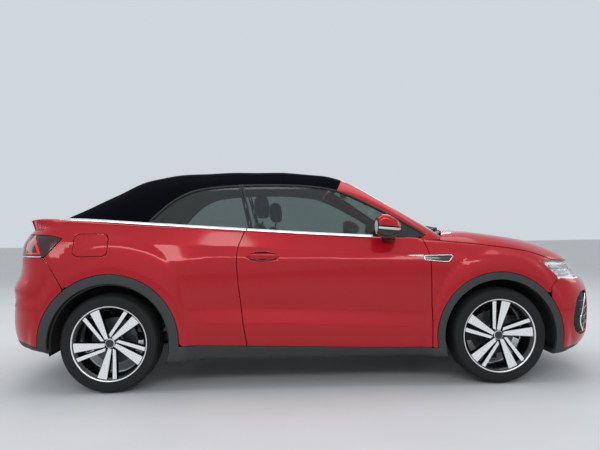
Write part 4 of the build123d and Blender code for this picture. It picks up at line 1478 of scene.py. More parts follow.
def rounded(outline: Outline, radius: float, step: float = 6.0) -> np.ndarray:
    """A closed outline with rounded corners as evenly spaced points.

    Args:
        outline: Corner points.
        radius: Corner radius.
        step: Spacing of the points.

    Returns:
        The points.
    """
    corners = np.array(outline, float)
    points = []
    for before, at, after in zip(np.roll(corners, 1, 0), corners, np.roll(corners, -1, 0)):
        back, ahead = before - at, after - at
        reach = min(radius, 0.45 * np.linalg.norm(back), 0.45 * np.linalg.norm(ahead))
        start, end = at + back / np.linalg.norm(back) * reach, at + ahead / np.linalg.norm(ahead) * reach
        t = np.linspace(0, 1, 7)[:, None]
        points.append((1 - t) ** 2 * start + 2 * t * (1 - t) * at + t * t * end)
    points = np.concatenate(points)
    loop = np.concatenate([points, points[:1]])
    far = np.concatenate([[0], np.cumsum(np.linalg.norm(np.diff(loop, axis=0), axis=1))])
    at = np.linspace(0, far[-1], max(8, int(far[-1] / step)), endpoint=False)
    return np.stack([np.interp(at, far, loop[:, k]) for k in (0, 1)], 1)


def lathe(name: str, profile: Sequence[tuple[float, float]], finish: bpy.types.Material, segments: int = 96,
          closed: bool = True) -> bpy.types.Object:
    """Turn a closed profile of (radius, outward) about the Y axis, outward being -Y.

    Args:
        name: The piece's name.
        profile: Profile points; a point on the axis closes the end.
        finish: The material.
        segments: Steps round the axis.
        closed: Whether the profile's last point joins its first.

    Returns:
        The piece about the origin, with radius and angle as its pattern coordinates.
    """
    profile = np.array(profile, float)
    ring = len(profile)
    t = np.linspace(0, 2 * np.pi, segments, endpoint=False)
    points = np.stack([
        profile[None, :, 0] * np.cos(t)[:, None], np.broadcast_to(-profile[None, :, 1], (segments, ring)),
        profile[None, :, 0] * np.sin(t)[:, None]], -1).reshape(-1, 3)
    uv = np.stack([np.broadcast_to(profile[None, :, 0], (segments, ring)) * MILLI,
                   np.broadcast_to(t[:, None] * 0.2, (segments, ring))], -1).reshape(-1, 2)
    piece = mesh_object(name, points, net(segments, ring, True, closed), finish, uv=uv)
    return turned_out(piece)


def slab_piece(name: str, outline: Outline, depth: tuple[float, float], axis: int, finish: bpy.types.Material,
               bevel: float = 2.0, segments: int = 3) -> bpy.types.Object:
    """A flat piece with an outline in the plane across one axis and bevelled edges.

    Args:
        name: The piece's name.
        outline: Corner points in the other two axes, in their order x, y, z.
        depth: Limits along the axis.
        axis: 0, 1 or 2.
        finish: The material.
        bevel: Edge radius.
        segments: Steps of the bevel.

    Returns:
        The closed piece.
    """
    others = [k for k in range(3) if k != axis]
    points = np.zeros((2 * len(outline), 3))
    for layer, at in enumerate(depth):
        rows = slice(layer * len(outline), (layer + 1) * len(outline))
        points[rows, axis] = at
        points[rows, others[0]] = [a for a, _ in outline]
        points[rows, others[1]] = [b for _, b in outline]
    n = len(outline)
    faces = [list(range(n)), list(range(n, 2 * n))[::-1]]
    faces += [[k, (k + 1) % n, n + (k + 1) % n, n + k] for k in range(n)]
    piece = turned_out(mesh_object(name, points, faces, finish))
    if bevel:
        piece = modified(piece, "BEVEL", width=bevel * MILLI, segments=segments, limit_method="ANGLE",
            harden_normals=False)
    return piece


def modified(piece: bpy.types.Object, kind: str, **settings: object) -> bpy.types.Object:
    """Apply one modifier to a piece's mesh.

    Args:
        piece: The piece.
        kind: The modifier's type.
        **settings: Its properties.

    Returns:
        The piece.
    """
    step = piece.modifiers.new("step", kind)
    for key, value in settings.items():
        setattr(step, key, value)
    baked = bpy.data.meshes.new_from_object(piece.evaluated_get(bpy.context.evaluated_depsgraph_get()))
    piece.modifiers.remove(step)
    old = piece.data
    piece.data = baked
    bpy.data.meshes.remove(old)
    return piece


def joined(name: str, pieces: Sequence[bpy.types.Object]) -> bpy.types.Object:
    """Join pieces into the first one.

    Args:
        name: The name of the result.
        pieces: The pieces, none of which is kept but the first.

    Returns:
        The first piece.
    """
    with bpy.context.temp_override(active_object=pieces[0], selected_editable_objects=list(pieces),
            selected_objects=list(pieces)):
        bpy.ops.object.join()
    pieces[0].name = pieces[0].data.name = name
    return pieces[0]


def placed(piece: bpy.types.Object, matrix: Matrix) -> bpy.types.Object:
    """Move a piece's mesh, leaving its object at the origin.

    Args:
        piece: The piece.
        matrix: The move, in metres.

    Returns:
        The same piece.
    """
    piece.data.transform(matrix)
    piece.data.update()
    return piece


def copied(piece: bpy.types.Object, name: str) -> bpy.types.Object:
    """A separate copy of a piece with its own mesh.

    Args:
        piece: The piece.
        name: The copy's name.

    Returns:
        The copy, linked to the scene.
    """
    made = bpy.data.objects.new(name, piece.data.copy())
    bpy.context.scene.collection.objects.link(made)
    return made


class Repeat:
    """Geometry Nodes that set copies of a small piece round an axis or along a path."""

    @staticmethod
    def grown(name: str, host: bpy.types.Object, tree: bpy.types.NodeTree,
            values: dict[str, object]) -> bpy.types.Object:
        """Run a tree on a host piece and keep the result as a plain mesh.

        Args:
            name: The finished piece's name.
            host: The piece that carries the tree.
            tree: The node tree.
            values: Its inputs by name.

        Returns:
            The finished piece, in place of the host.
        """
        step = host.modifiers.new("repeat", "NODES")
        step.node_group = tree
        sockets = {item.name: item.identifier for item in tree.interface.items_tree
            if item.item_type == "SOCKET" and item.in_out == "INPUT"}
        for key, value in values.items():
            step[sockets[key]] = value
        mesh = bpy.data.meshes.new_from_object(host.evaluated_get(bpy.context.evaluated_depsgraph_get()))
        host.modifiers.remove(step)
        made = bpy.data.objects.new(name, mesh)
        mesh.name = name
        bpy.context.scene.collection.objects.link(made)
        for used in {host, *[v for v in values.values() if isinstance(v, bpy.types.Object)]}:
            bpy.data.objects.remove(used)
        return made

    @staticmethod
    def tree(name: str, inputs: Sequence[tuple[str, str]]) -> tuple[bpy.types.NodeTree, bpy.types.Node]:
        """A geometry tree with named inputs.

        Args:
            name: The tree's name.
            inputs: Name and socket type of each.

        Returns:
            The tree and its input node.
        """
        tree = bpy.data.node_groups.new(name, "GeometryNodeTree")
        tree.interface.new_socket("Geometry", in_out="OUTPUT", socket_type="NodeSocketGeometry")
        tree.interface.new_socket("Geometry", in_out="INPUT", socket_type="NodeSocketGeometry")
        for key, kind in inputs:
            tree.interface.new_socket(key, in_out="INPUT", socket_type=kind)
        return tree, add_node(tree, "NodeGroupInput")

    @classmethod
    def around(cls, name: str, source: bpy.types.Object, count: int, phase: float = 0.0) -> bpy.types.Object:
        """Copies of a piece turned about the Y axis.

        Args:
            name: The finished piece's name.
            source: The piece, modelled round the origin.
            count: How many.
            phase: Turn of the first one in degrees.

        Returns:
            One mesh of all the copies.
        """
        tree, ports = cls.tree("turned_copies", [("Count", "NodeSocketInt"), ("Phase", "NodeSocketFloat"),
            ("Finish", "NodeSocketMaterial")])
        spots = add_node(tree, "GeometryNodePoints", {"Count": ports.outputs["Count"]})
        index = add_node(tree, "GeometryNodeInputIndex")
        share = add_node(tree, "ShaderNodeMath", {0: index.outputs[0], 1: ports.outputs["Count"]},
            operation="DIVIDE")
        turn = add_node(tree, "ShaderNodeMath", {0: share.outputs[0], 1: 2 * math.pi,
            2: ports.outputs["Phase"]}, operation="MULTIPLY_ADD")
        angles = add_node(tree, "ShaderNodeCombineXYZ", {"Y": turn.outputs[0]})
        copies = add_node(tree, "GeometryNodeInstanceOnPoints",
            {"Points": spots.outputs[0], "Instance": ports.outputs["Geometry"], "Rotation": angles.outputs[0]})
        real = add_node(tree, "GeometryNodeRealizeInstances", {0: copies.outputs[0]})
        finish = add_node(tree, "GeometryNodeSetMaterial",
            {"Geometry": real.outputs[0], "Material": ports.outputs["Finish"]})
        add_node(tree, "NodeGroupOutput", {0: finish.outputs[0]})
        return cls.grown(name, source, tree, {"Count": count, "Phase": math.radians(phase),
            "Finish": source.data.materials[0]})

    @classmethod
    def along(cls, name: str, path: np.ndarray, source: bpy.types.Object, spacing: float,
            closed: bool = False) -> bpy.types.Object:
        """Copies of a piece set along a path, its X axis along the path.

        Args:
            name: The finished piece's name.
            path: Points in millimetres.
            source: The piece, modelled at the origin.
            spacing: Distance between copies in millimetres.
            closed: Whether the path returns to its start.

        Returns:
            One mesh of all the copies.
        """
        tree, ports = cls.tree("copies_along", [("Spacing", "NodeSocketFloat"), ("Piece", "NodeSocketObject"),
            ("Finish", "NodeSocketMaterial")])
        line = add_node(tree, "GeometryNodeMeshToCurve", {"Mesh": ports.outputs["Geometry"]})
        even = add_node(tree, "GeometryNodeResampleCurve",
            {"Curve": line.outputs[0], "Length": ports.outputs["Spacing"]}, mode="LENGTH")
        tangent = add_node(tree, "GeometryNodeInputTangent")
        aim = add_node(tree, "FunctionNodeAlignRotationToVector", {"Vector": tangent.outputs[0]}, axis="X")
        piece = add_node(tree, "GeometryNodeObjectInfo", {"Object": ports.outputs["Piece"]})
        copies = add_node(tree, "GeometryNodeInstanceOnPoints",
            {"Points": even.outputs[0], "Instance": piece.outputs["Geometry"], "Rotation": aim.outputs[0]})
        real = add_node(tree, "GeometryNodeRealizeInstances", {0: copies.outputs[0]})
        finish = add_node(tree, "GeometryNodeSetMaterial",
            {"Geometry": real.outputs[0], "Material": ports.outputs["Finish"]})
        add_node(tree, "NodeGroupOutput", {0: finish.outputs[0]})
        mesh = bpy.data.meshes.new("path")
        points = np.asarray(path, float) * MILLI
        ends = [(i, (i + 1) % len(points)) for i in range(len(points) if closed else len(points) - 1)]
        mesh.from_pydata(points.tolist(), ends, [])
        host = bpy.data.objects.new("path", mesh)
        bpy.context.scene.collection.objects.link(host)
        return cls.grown(name, host, tree, {"Spacing": spacing * MILLI, "Piece": source,
            "Finish": source.data.materials[0]})


# ---- the greenhouse ------------------------------------------------------------------------------
@dataclass
class Roof:
    """The fabric top, its windows, the windscreen and its painted frame.

    Attributes:
        finishes: The materials.
        body: The painted body that the roof stands on.
        form: The greenhouse's surface.
        glass_line: The side windows' outline.
        bows: X of the hoops that hold the fabric up.
        sag: How far the fabric sinks between hoops.
        cut: The fabric's flat width and length in metres and its area; not used.
        pillar: Breadth of the painted pillar beside the screen.
    """

    finishes: Finishes
    body: Body
    form: RoofSurface = field(default_factory=RoofSurface)
    glass_line: Outline = ((-1120, 1085), (-1112, 1115), (-1092, 1146), (-1045, 1193), (-989, 1249),
        (-936, 1289), (-883, 1322), (-830, 1345), (-778, 1361), (-700, 1374), (-620, 1382), (-479, 1391),
        (-330, 1393), (-178, 1391), (-60, 1386), (30, 1378), (149, 1359), (216, 1341), (300, 1307), (400, 1256),
        (528, 1186), (650, 1115), (800, 1022), (640, 930), (-400, 930))
    bows: tuple[float, ...] = (200.0, -170.0, -560.0, -930.0, -1210.0)
    sag: float = 3.5
    cut: tuple[float, float, float] = (1.95, 2.2, 2.75)
    pillar: float = 60.0

    def cloth(self, p: np.ndarray) -> np.ndarray:
        """The fabric's field: the roof with the cloth sunk between its hoops.

        Args:
            p: Points, one a row.

        Returns:
            The field at each point.
        """
        x, z = p[:, 0], p[:, 2]
        depth = np.zeros(len(p))
        for fore, aft in zip(self.bows, self.bows[1:]):
            share = np.clip((x - aft) / (fore - aft), 0, 1)
            depth = depth + np.sin(np.pi * share) ** 2
        high = np.clip((z - 1330) / 90, 0, 1)
        pull = np.sin((x * 0.021 + z * 0.013)) * np.clip((-850 - x) / 300, 0, 1) * np.clip((z - 1150) / 60, 0,
            1) * 0.9
        return self.form.value(p) + self.sag * depth * high + pull + 0.9

    def core(self, p: np.ndarray) -> np.ndarray:
        """Inner ends of the rays that find the roof."""
        return np.stack([np.clip(p[:, 0], -1340, 430), np.clip(p[:, 1], -300, 300),
            np.clip(p[:, 2], 1010, 1190)], 1)

    def wrap(self, surface: Field, step: float = 29.0) -> Skin:
        """A roof skin for one field."""
        points, faces = box_rays(stepped((-1950, 1180, step)), stepped((-900, 900, 1.2 * step)),
            stepped((960, 1640, 0.82 * step)))
        return shrink_wrap(surface, self.core, points, faces)

    def piece(self, name: str, skin: Skin, region: Field, body: str, finish: bpy.types.Material, slot: str,
              replaces: Sequence[str] = (), **sizes: float) -> bpy.types.Object:
        """Cut one roof panel and put it on its body."""
        return settle_piece(Panel(name, skin, region, finish, **sizes).build(), body, replaces)

    def build(self) -> None:
        """Make every piece of the greenhouse."""
        f = self.finishes
        hard = self.wrap(self.form.value)
        soft = self.wrap(self.cloth)
        clear_of_body = lambda p: -self.body.form.value(p) - 9  # noqa: E731
        header = lambda p: 216 + 0.55 * (p[:, 2] - 1364) - p[:, 0]  # noqa: E731
        side = side_view(self.glass_line)
        beside_only = slab(1, 300)
        windows = both(side, beside_only)
        lean = lambda p: np.abs(p[:, 1]) - self.form.side(p[:, 2]) - self.form.plan(p[:, 0])  # noqa: E731
        screen = both(side_view(((1040, 1130), (930, 945), (232, 1349), (350, 1495))),
            lambda p: lean(p) + self.pillar)
        screen_open = lambda p: screen(p) - 12  # noqa: E731
        front_half = lambda p: -(p[:, 0] + 479 + (1392 - p[:, 2]) * -0.2367)  # noqa: E731
        pane = both(end_view(((-900, 1240), (395, 1240), (370, 1395), (-900, 1395)), 28), slab(0, -2500, -1150))
        divider = side_view(((-493, 1430), (-481, 1430), (-391, 1050), (-403, 1050)))
        cloth = self.piece("soft_top_canvas", soft, both(without(header), without(windows), clear_of_body,
            without(pane), lambda p: self.belt(p) - 12), "body", f.canvas, "fabric_black", ("soft_top",),
            gap=1.5, edge=1.8, wall=4.0)
        self.cloth_pattern(cloth)
        self.piece("soft_top_lining", self.wrap(self.cloth, 44.0),
            both(without(header), without(windows), clear_of_body, without(pane), lambda p: self.belt(p) - 25),
            "body", f.headliner, "trim_grey", gap=6, edge=0, wall=3.0, lift=-19)
        across = np.linspace(-640, 640, 90)
        for k, (x0, lean_x) in enumerate(((216, 0.55), (-185, 0.12))):
            inner = places(x0 + lean_x * (1100 - 1364), across * 0.6, 1100.0)
            outer = places(x0 + lean_x * (1660 - 1364), across * 1.05, 1660.0)
            path = land(self.cloth, inner, outer) + ((-9, 0, 0) if k == 0 else (0, 0, 0))
            up = unit(gradient(self.cloth, path))
            lay(f"soft_top_{('front_hem', 'cross_seam')[k]}", path + up * 0.6, oval(3.4, (16, 9)[k], 3),
                f.canvas, up, "body", "fabric_black")
        along = np.linspace(150, -1150, 110)
        for s in Side:
            inner = places(along, s.value * 380.0, 1150.0)
            path = land(self.cloth, inner, inner + (0, s.value * 190.0, 500.0))
            up = unit(gradient(self.cloth, path))
            lay(f"soft_top_seam_{s.word}", path + up * 0.5, oval(3.2, 9, 3), f.canvas, up, "body",
                "fabric_black")
        self.piece("windscreen_frame_skin", hard, both(header, without(windows), without(screen_open),
            clear_of_body, slab(0, 150, 1200)), "body", f.paint, "paint_red", ("windscreen_frame",), gap=1.5,
            wall=26)
        self.piece("windscreen_pane", hard, both(screen, clear_of_body), "body", f.screen_glass, "glass_tinted",
            ("windscreen",), gap=-6, edge=1.0, wall=5, lift=-3)
        border = both(screen_open, lambda p: -(screen(p) + 22), clear_of_body)
        self.piece("windscreen_border", hard, border, "body", f.frit, "plastic_black", gap=1.0, edge=1.0,
            wall=3, lift=-1.5)
        self.piece("rear_window_pane", soft, pane, "body", f.glass, "glass_tinted", ("rear_window",), gap=-4,
            edge=1, wall=4, lift=-2)
        loop = rounded(((-395, 1240), (395, 1240), (370, 1395), (-370, 1395)), 60, 12)
        inner = places(-900.0, loop[:, 0], loop[:, 1])
        path = land(self.cloth, inner, inner - (1200, 0, 0))
        lay("rear_window_seal", path, oval(7, 16, 3), f.seal, unit(gradient(self.cloth, path)), closed=True)
        sail = side_view(((640, 1135), (830, 1022), (640, 990)))
        inside = both(lambda p: side(p) + 6, beside_only, without(divider), without(sail),
            lambda p: self.belt(p) - 26)
        for s in Side:
            door = f"door_{s.word}_body"
            half = on_side(s)
            self.piece(f"door_glass_{s.word}_pane", hard, both(inside, front_half, half), door, f.glass,
                "glass_tinted", (f"door_glass_{s.word}",), gap=0, edge=0.8, wall=4.5, lift=-4)
            self.piece(f"quarter_glass_{s.word}_pane", hard, both(inside, without(front_half), half), "body",
                f.glass, "glass_tinted", ("quarter_glasses",), gap=0, edge=0.8, wall=4.5, lift=-4)
            self.piece(f"mirror_sail_{s.word}", hard, both(sail, windows, half, lambda p: self.belt(p) - 20),
                door, f.piano, "plastic_black", gap=0.8, edge=1.2, wall=8, lift=-1)
            self.strip(f"window_divider_{s.word}", ((-471, 1398), (-392, 1065)), s, door, f.seal, (7, 15))
            self.strip(f"quarter_divider_{s.word}", ((-489, 1398), (-410, 1065)), s, "body", f.seal, (7, 15))
            line = rounded(self.glass_line, 30, 18)
            keep = line[line[:, 1] > self.body.form.rows[-1][0](line[:, 0]) - 6]
            order = np.argsort(np.unwrap(np.arctan2(keep[:, 1] - 1040, keep[:, 0] + 150)))[::-1]
            self.strip(f"window_seal_{s.word}", keep[order], s, "body", f.seal, (9, 14))

    def strip(self, name: str, line: Outline, side: Side, body: str, finish: bpy.types.Material,
            section: tuple[float, float]) -> None:
        """A rubber or bright strip that follows the greenhouse's flank.

        Args:
            name: The piece's name.
            line: Its middle line in side view.
            side: Which flank.
            body: The body it rides on.
            finish: Its material.
            section: Thickness and breadth.
        """
        line = np.array(line, float)
        if len(line) < 4:
            t = np.linspace(0, 1, 30)[:, None]
            line = line[0] * (1 - t) + line[-1] * t
        path = beside(self.form.value, line, side)
        lay(name, path, oval(*section, 3.5), finish, unit(gradient(self.form.value, path)), body)

    def belt(self, p: np.ndarray) -> np.ndarray:
        """Height below the belt line at each point."""
        return self.body.form.rows[-1][0](p[:, 0]) - p[:, 2]

    def cloth_pattern(self, cloth: bpy.types.Object) -> None:
        """Lay the weave's coordinates over the canvas: along the car, and round its section.

        Args:
            cloth: The canvas piece.
        """
        co = vertex_rows(cloth.data)
        round_section = co[:, 1] + np.sign(co[:, 1]) * np.maximum(1.46 - co[:, 2], 0) * 0.72
        lay_pattern(cloth.data, np.stack([co[:, 0], round_section], 1))


# ---- wheels --------------------------------------------------------------------------------------
@dataclass
class Wheels:
    """Tyres, rims and brake discs.

    Attributes:
        finishes: The materials.
        wide: Wide blade's four corners as radius and offset, seen from outside.
        narrow: Narrow blade's corners.
        face: Outward place of the blades' faces at the hub and at the rim.
        steps: Points along a blade's edge.
        pairs: Pairs of blades round the wheel.
        blocks: Tread blocks round each shoulder of the tyre.
        phases: Turn of each wheel's blades in degrees.
    """

    finishes: Finishes
    wide: Outline = ((31, -10), (40, 15), (237, -4), (229, -70))
    narrow: Outline = ((33, 20), (46, 43), (229, 60), (235, 31))
    face: tuple[float, float] = (80.0, 93.0)
    steps: int = 13
    pairs: int = 5
    blocks: int = 68
    phases: dict[str, float] = field(default_factory=lambda: {"front_right": 86, "rear_right": 51,
        "front_left": 74, "rear_left": 118})

    def blade(self, corners: Outline, skin: bool) -> bpy.types.Object:
        """One blade pointing along +X: its black body or its bright turned face.

        Args:
            corners: Radius and sideways place of the blade's four corners.
            skin: True for the bright face, False for the body.

        Returns:
            The blade.
        """
        (r0, a0), (r1, a1), (r2, a2), (r3, a3) = corners
        s = np.linspace(0, 1, self.steps)
        left = np.stack([r1 + (r2 - r1) * s, a1 + (a2 - a1) * s], 1)
        right = np.stack([r0 + (r3 - r0) * s, a0 + (a3 - a0) * s], 1)
        level = self.face[0] + (self.face[1] - self.face[0]) * (0.5 * (left[:, 0] + right[:, 0]) / 236) ** 1.5
        across = unit(np.pad(left - right, ((0, 0), (0, 1))))[:, :2]
        rows = ((right, 2.2, -0.9), (left, -2.2, -0.9), (left, -1.6, 0.5),
            (right, 1.6, 0.5)) if skin else ((right, -4.0, -34.0), (left, 4.0, -34.0), (left, 0.0, -3.0),
            (left, -1.6, -0.2), (right, 1.6, -0.2), (right, 0.0, -3.0))
        ring = len(rows)
        points = np.empty((self.steps, ring, 3))
        for k, (edge, shift, depth) in enumerate(rows):
            flat = edge + across * shift
            points[:, k, 0], points[:, k, 2], points[:, k, 1] = flat[:, 0], flat[:, 1], -(level + depth)
        last = (self.steps - 1) * ring
        faces = net(self.steps, ring, False).tolist() + [list(range(ring)), [last + k for k in range(ring)]]
        points = points.reshape(-1, 3)
        uv = np.stack([np.hypot(points[:, 0], points[:, 2]) * MILLI,
            np.arctan2(points[:, 2], points[:, 0]) * 0.2], 1)
        finish = self.finishes.turned if skin else self.finishes.wheel_black
        return turned_out(mesh_object("blade", points, faces, finish, uv=uv))

    def parts(self, phase: float) -> dict[str, bpy.types.Object]:
        """One wheel about the origin, its outside facing -Y.

        Args:
            phase: Turn of the blades, in degrees.

        Returns:
            Each piece under its own word.
        """
        f = self.finishes
        made = {}
        made["tyre"] = lathe("tyre", [(246, -86), (250, -100), (258, -106), (270, -110), (288, -112),
            (300, -110.5), (309, -107), (316, -101), (321, -93), (324, -84), (325.4, -76), (325.8, -68),
            (319, -67), (319, -60), (326.6, -59), (327.4, -28), (320, -27), (320, -18), (327.7, -17),
            (327.8, 17), (320, 18), (320, 27), (327.4, 28), (326.6, 59), (319, 60), (319, 67), (325.8, 68),
            (325.4, 76), (324, 84), (321, 93), (316, 101), (311, 105.5), (309, 108.5), (304, 109.5),
            (302, 109.5), (299, 110.5), (288, 112), (284, 111.2), (282, 111.8), (270, 110), (262, 107.5),
            (258, 108.5), (254, 107), (251, 102), (246, 96)], f.rubber, 88)
        lug = slab_piece("lug", ((-9.5, -2), (10.5, -2), (10.5, 26), (-9.5, 26)), (311.0, 326.2), 0, f.rubber,
            0.8, 1)
        lugs = []
        for sign in (-1, 1):
            side_lug = copied(lug, "lug_copy")
            co = [(x, sign * (0.070 + (z + 0.002) * 0.95), y + 0.004 * sign * z / 0.026) for x, y,
                z in [tuple(v.co) for v in side_lug.data.vertices]]
            for v, (x, y, z) in zip(side_lug.data.vertices, co):
                x_in = x - max(0.0, abs(y) - 0.074) * 0.42
                v.co = (x_in, y, z)
            lugs.append(turned_out(side_lug))
        bpy.data.objects.remove(lug)
        made["tread_lugs"] = Repeat.around("tread_lugs", joined("lug_pair", lugs), self.blocks)
        made["barrel"] = lathe("barrel", [(245.8, -98), (245.8, 97), (243, 100), (238, 97), (234, 90),
            (226, 84), (216, 60), (212, 20), (214, -40), (222, -80), (232, -98), (238, -103), (249, -104),
            (251, -101), (249, -98)], f.wheel_black)
        made["lip"] = lathe("lip", [(242.0, 99.5), (243.5, 102.2), (246.0, 104.2), (249.6, 104.6),
            (250.6, 102.6), (248.0, 101.4), (244.5, 99)], f.turned)
        body = [self.blade(self.wide, False), self.blade(self.narrow, False)]
        made["blades"] = Repeat.around("blades", joined("pair", body), self.pairs, -phase)
        faces = [self.blade(self.wide, True), self.blade(self.narrow, True)]
        made["blade_faces"] = Repeat.around("blade_faces", joined("pair", faces), self.pairs, -phase)
        made["hub"] = lathe("hub", [(0, 30), (64, 30), (66, 36), (58, 56), (44, 74), (36, 79), (34, 76),
            (0, 76)], f.wheel_black, closed=False)
        made["cap"] = lathe("cap", [(0, 75), (29, 75), (31, 78), (30.5, 81), (27, 83.5), (0, 85)],
            f.wheel_black, 48, closed=False)
        made["cap_ring"] = lathe("cap_ring", [(27.5, 82.4), (31.8, 79.5), (32.2, 81.6), (29.2, 84.6),
            (27.4, 84.2)], f.bright, 48)
        bolt = lathe("bolt", [(0, 56), (10, 56), (10, 66), (7.5, 68), (0, 68)], f.caliper, 12, closed=False)
        placed(bolt, Matrix.Translation((0.052, 0, 0)))
        made["bolts"] = Repeat.around("bolts", bolt, 5, 18 - phase)
        made["valve"] = placed(lathe("valve", [(0, 66), (4, 66), (4, 92), (3, 94), (0, 94)], f.rubber, 12,
            closed=False), Matrix.Translation((0.205 * math.cos(math.radians(phase + 36)), 0,
            0.205 * math.sin(math.radians(phase + 36)))))
        made["disc"] = lathe("disc", [(78, -30), (78, -33), (155, -33), (156, -34), (156, -39), (150, -39),
            (150, -43), (156, -43), (156, -48), (155, -49), (78, -49), (78, -52), (74, -52), (74, -30)], f.iron)
        hole = lathe("hole", [(0, -29.4), (3.6, -29.4), (3.6, -32.6), (0, -32.6)], f.steel, 8, closed=False)
        made["disc_holes"] = Repeat.around("disc_holes", placed(hole, Matrix.Translation((0.118, 0, 0))), 24)
        made["bell"] = lathe("bell", [(0, -49), (74, -49), (76, -30), (74, 28), (70, 31), (0, 31)], f.caliper,
            closed=False)
        return made

    def build(self) -> None:
        """Make all four wheels on their bodies."""
        kept = {"tyre": "tyre", "barrel": "rim"}
        for word, axle in (("front", FRONT_AXLE), ("rear", REAR_AXLE)):
            for side in Side:
                place = f"{word}_{side.word}"
                turn = Matrix.Rotation(math.pi if side is Side.LEFT else 0.0, 4, "Z")
                to = Matrix.Translation((axle * MILLI, side.value * HALF_TRACK * MILLI,
                    HUB_HEIGHT * MILLI)) @ turn
                for key, piece in self.parts(self.phases[place]).items():
                    placed(piece, to)
                    piece.name = f"{'tyre_casing' if key == 'tyre' else key}_{place}"
                    node = kept.get(key)
                    settle_piece(piece, f"wheel_{place}", (f"{node}_{place}",) if node else ())


# ---- outside trims -------------------------------------------------------------------------------
@dataclass
class Trims:
    """Bright strips, mirrors, handles, vents, lamp insides, grilles, plates and wipers.

    Attributes:
        finishes: The materials.
        body: The painted body.
        roof: The greenhouse.
        mirror_head: The mirror's outline in side view.
        mirror_middle: Distance of the mirror's middle from the centre line.
        belt_body: X limits of the bright strip on the body.
        belt_door: X limits of the bright strip on the door.
        end_core: Distance from the car's middle at which rays to the nose and tail start.
        end_reach: Length of those rays.
    """

    finishes: Finishes
    body: Body
    roof: Roof
    mirror_head: Outline = ((447, 1068), (447, 1100), (458, 1128), (480, 1144), (504, 1143), (538, 1126),
        (568, 1104), (590, 1080), (588, 1064), (560, 1046), (520, 1034), (482, 1036), (456, 1048))
    mirror_middle: float = 926.0
    belt_body: tuple[float, float] = (-1690.0, -436.0)
    belt_door: tuple[float, float] = (-429.0, 432.0)
    end_core: float = 1500.0
    end_reach: float = 900.0

    def trim(self, name: str, region: Field, side: Side, box: tuple[float, float, float, float], body: str,
            finish: bpy.types.Material, slot: str = "plastic_black", step: float = 5.0,
            **sizes: float) -> bpy.types.Object:
        """A small piece that lies on the body's flank.

        Args:
            name: The piece's name.
            region: Where it lies.
            side: Which flank.
            box: Limits of x and z to look in.
            body: The body it rides on.
            finish: Its material.
            slot: Its material slot; not used.
            step: Grid spacing.
            **sizes: Gap, edge, wall and lift.

        Returns:
            The piece.
        """
        skin = fine_skin(self.body.form.value, 1, box[:2], box[2:], (side.value * 600.0, side.value * 980.0),
            step)
        return settle_piece(Panel(f"{name}_{side.word}", skin, region, finish, **sizes).build(), body)

    def end_trim(self, name: str, region: Field, front: bool, box: tuple[float, float, float, float],
            finish: bpy.types.Material, slot: str = "plastic_black", body: str = "body", step: float = 6.0,
            replaces: Sequence[str] = (), **sizes: float) -> bpy.types.Object:
        """A small piece that lies on the nose or the tail.

        Args:
            name: The piece's name.
            region: Where it lies.
            front: Whether it is on the nose.
            box: Limits of y and z to look in.
            finish: Its material.
            slot: Its material slot; not used.
            body: The body it rides on.
            step: Grid spacing.
            replaces: The nodes it stands for.
            **sizes: Gap, edge, wall and lift.

        Returns:
            The piece.
        """
        sign = 1 if front else -1
        skin = fine_skin(self.body.form.value, 0, box[:2], box[2:], (sign * 1500.0, sign * 2300.0), step)
        skin.faces = skin.faces if front else skin.faces[:, ::-1]
        return settle_piece(Panel(name, skin, region, finish, **sizes).build(), body, replaces)

    def on_end(self, y: np.ndarray, z: np.ndarray | float, sign: int = 1) -> np.ndarray:
        """Points of an end view landed on the nose, or on the tail where the sign is -1."""
        inner = places(sign * self.end_core, y, z)
        return land(self.body.form.value, inner, inner + (sign * self.end_reach, 0, 0))

    def build(self) -> None:
        """Make every trim."""
        for side in Side:
            self.belt_strips(side)
            self.handle(side)
            self.vent(side)
            self.mirror(side)
            self.headlamp(side)
            self.tail_lamp(side)
        self.nose()
        self.tail()
        self.scuttle()

    def belt_strips(self, side: Side) -> None:
        """The bright strip under the windows, on the body and on the door.

        Args:
            side: Which side of the car.
        """
        belt = self.body.form.rows[-1][0]
        for word, (x0, x1), body in (("rear", self.belt_body, "body"),
                ("front", self.belt_door, f"door_{side.word}_body")):
            x = np.linspace(x0, x1, 120)
            path = beside(self.body.form.value, np.stack([x, belt(x) - 32], 1), side)
            path[:, 2] += 24 + 9 * np.clip((-450 - x) / 500, 0, 1)
            path[:, 1] -= side.value * 2.0
            taper = np.clip((x - self.belt_body[0]) / 60, 0.25, 1) if word == "rear" else np.ones(120)
            out = (0.0, side.value * 0.94, 0.34)
            lay(f"belt_strip_{word}_{side.word}", path, oval(9, 17, 4), self.finishes.bright, out, body,
                "steel_bright", scale=taper)

    def handle(self, side: Side) -> None:
        """The pull bar across the door's recess, and a thin black ring round the recess's edge that paints the
        recess's shade.

        Args:
            side: Which side of the car.
        """
        t = np.linspace(0, 1, 40)
        x = -430 + 222 * t
        z = 897 - 6 * t
        base = beside(self.body.form.value, np.stack([x * 0 - 150, z], 1), side)[:, 1]
        bow = np.sin(np.pi * t) ** 0.6
        path = np.stack([x, base + side.value * (-7 + 20 * bow), z], 1)
        out = (0.0, side.value, 0.0)
        size = 0.45 + 0.55 * np.sin(np.pi * t) ** 0.5
        door = f"door_{side.word}_body"
        lay(f"door_handle_{side.word}", path, oval(15, 36, 2.6), self.finishes.paint, out, door, "paint_red",
            scale=size)
        # painted shade: a thin black ring laid round the recess's edge stands in for the shadow inside the
        # recess
        cup = side_view(HANDLE)
        rim = both(lambda p: cup(p) - 1.5, lambda p: -(cup(p) + 3))
        self.trim("door_handle_rim", rim, side, (-445.0, -195.0, 845.0, 935.0), door, self.finishes.seal,
            step=5.0, gap=0.0, edge=0.6, wall=4, lift=0.7)

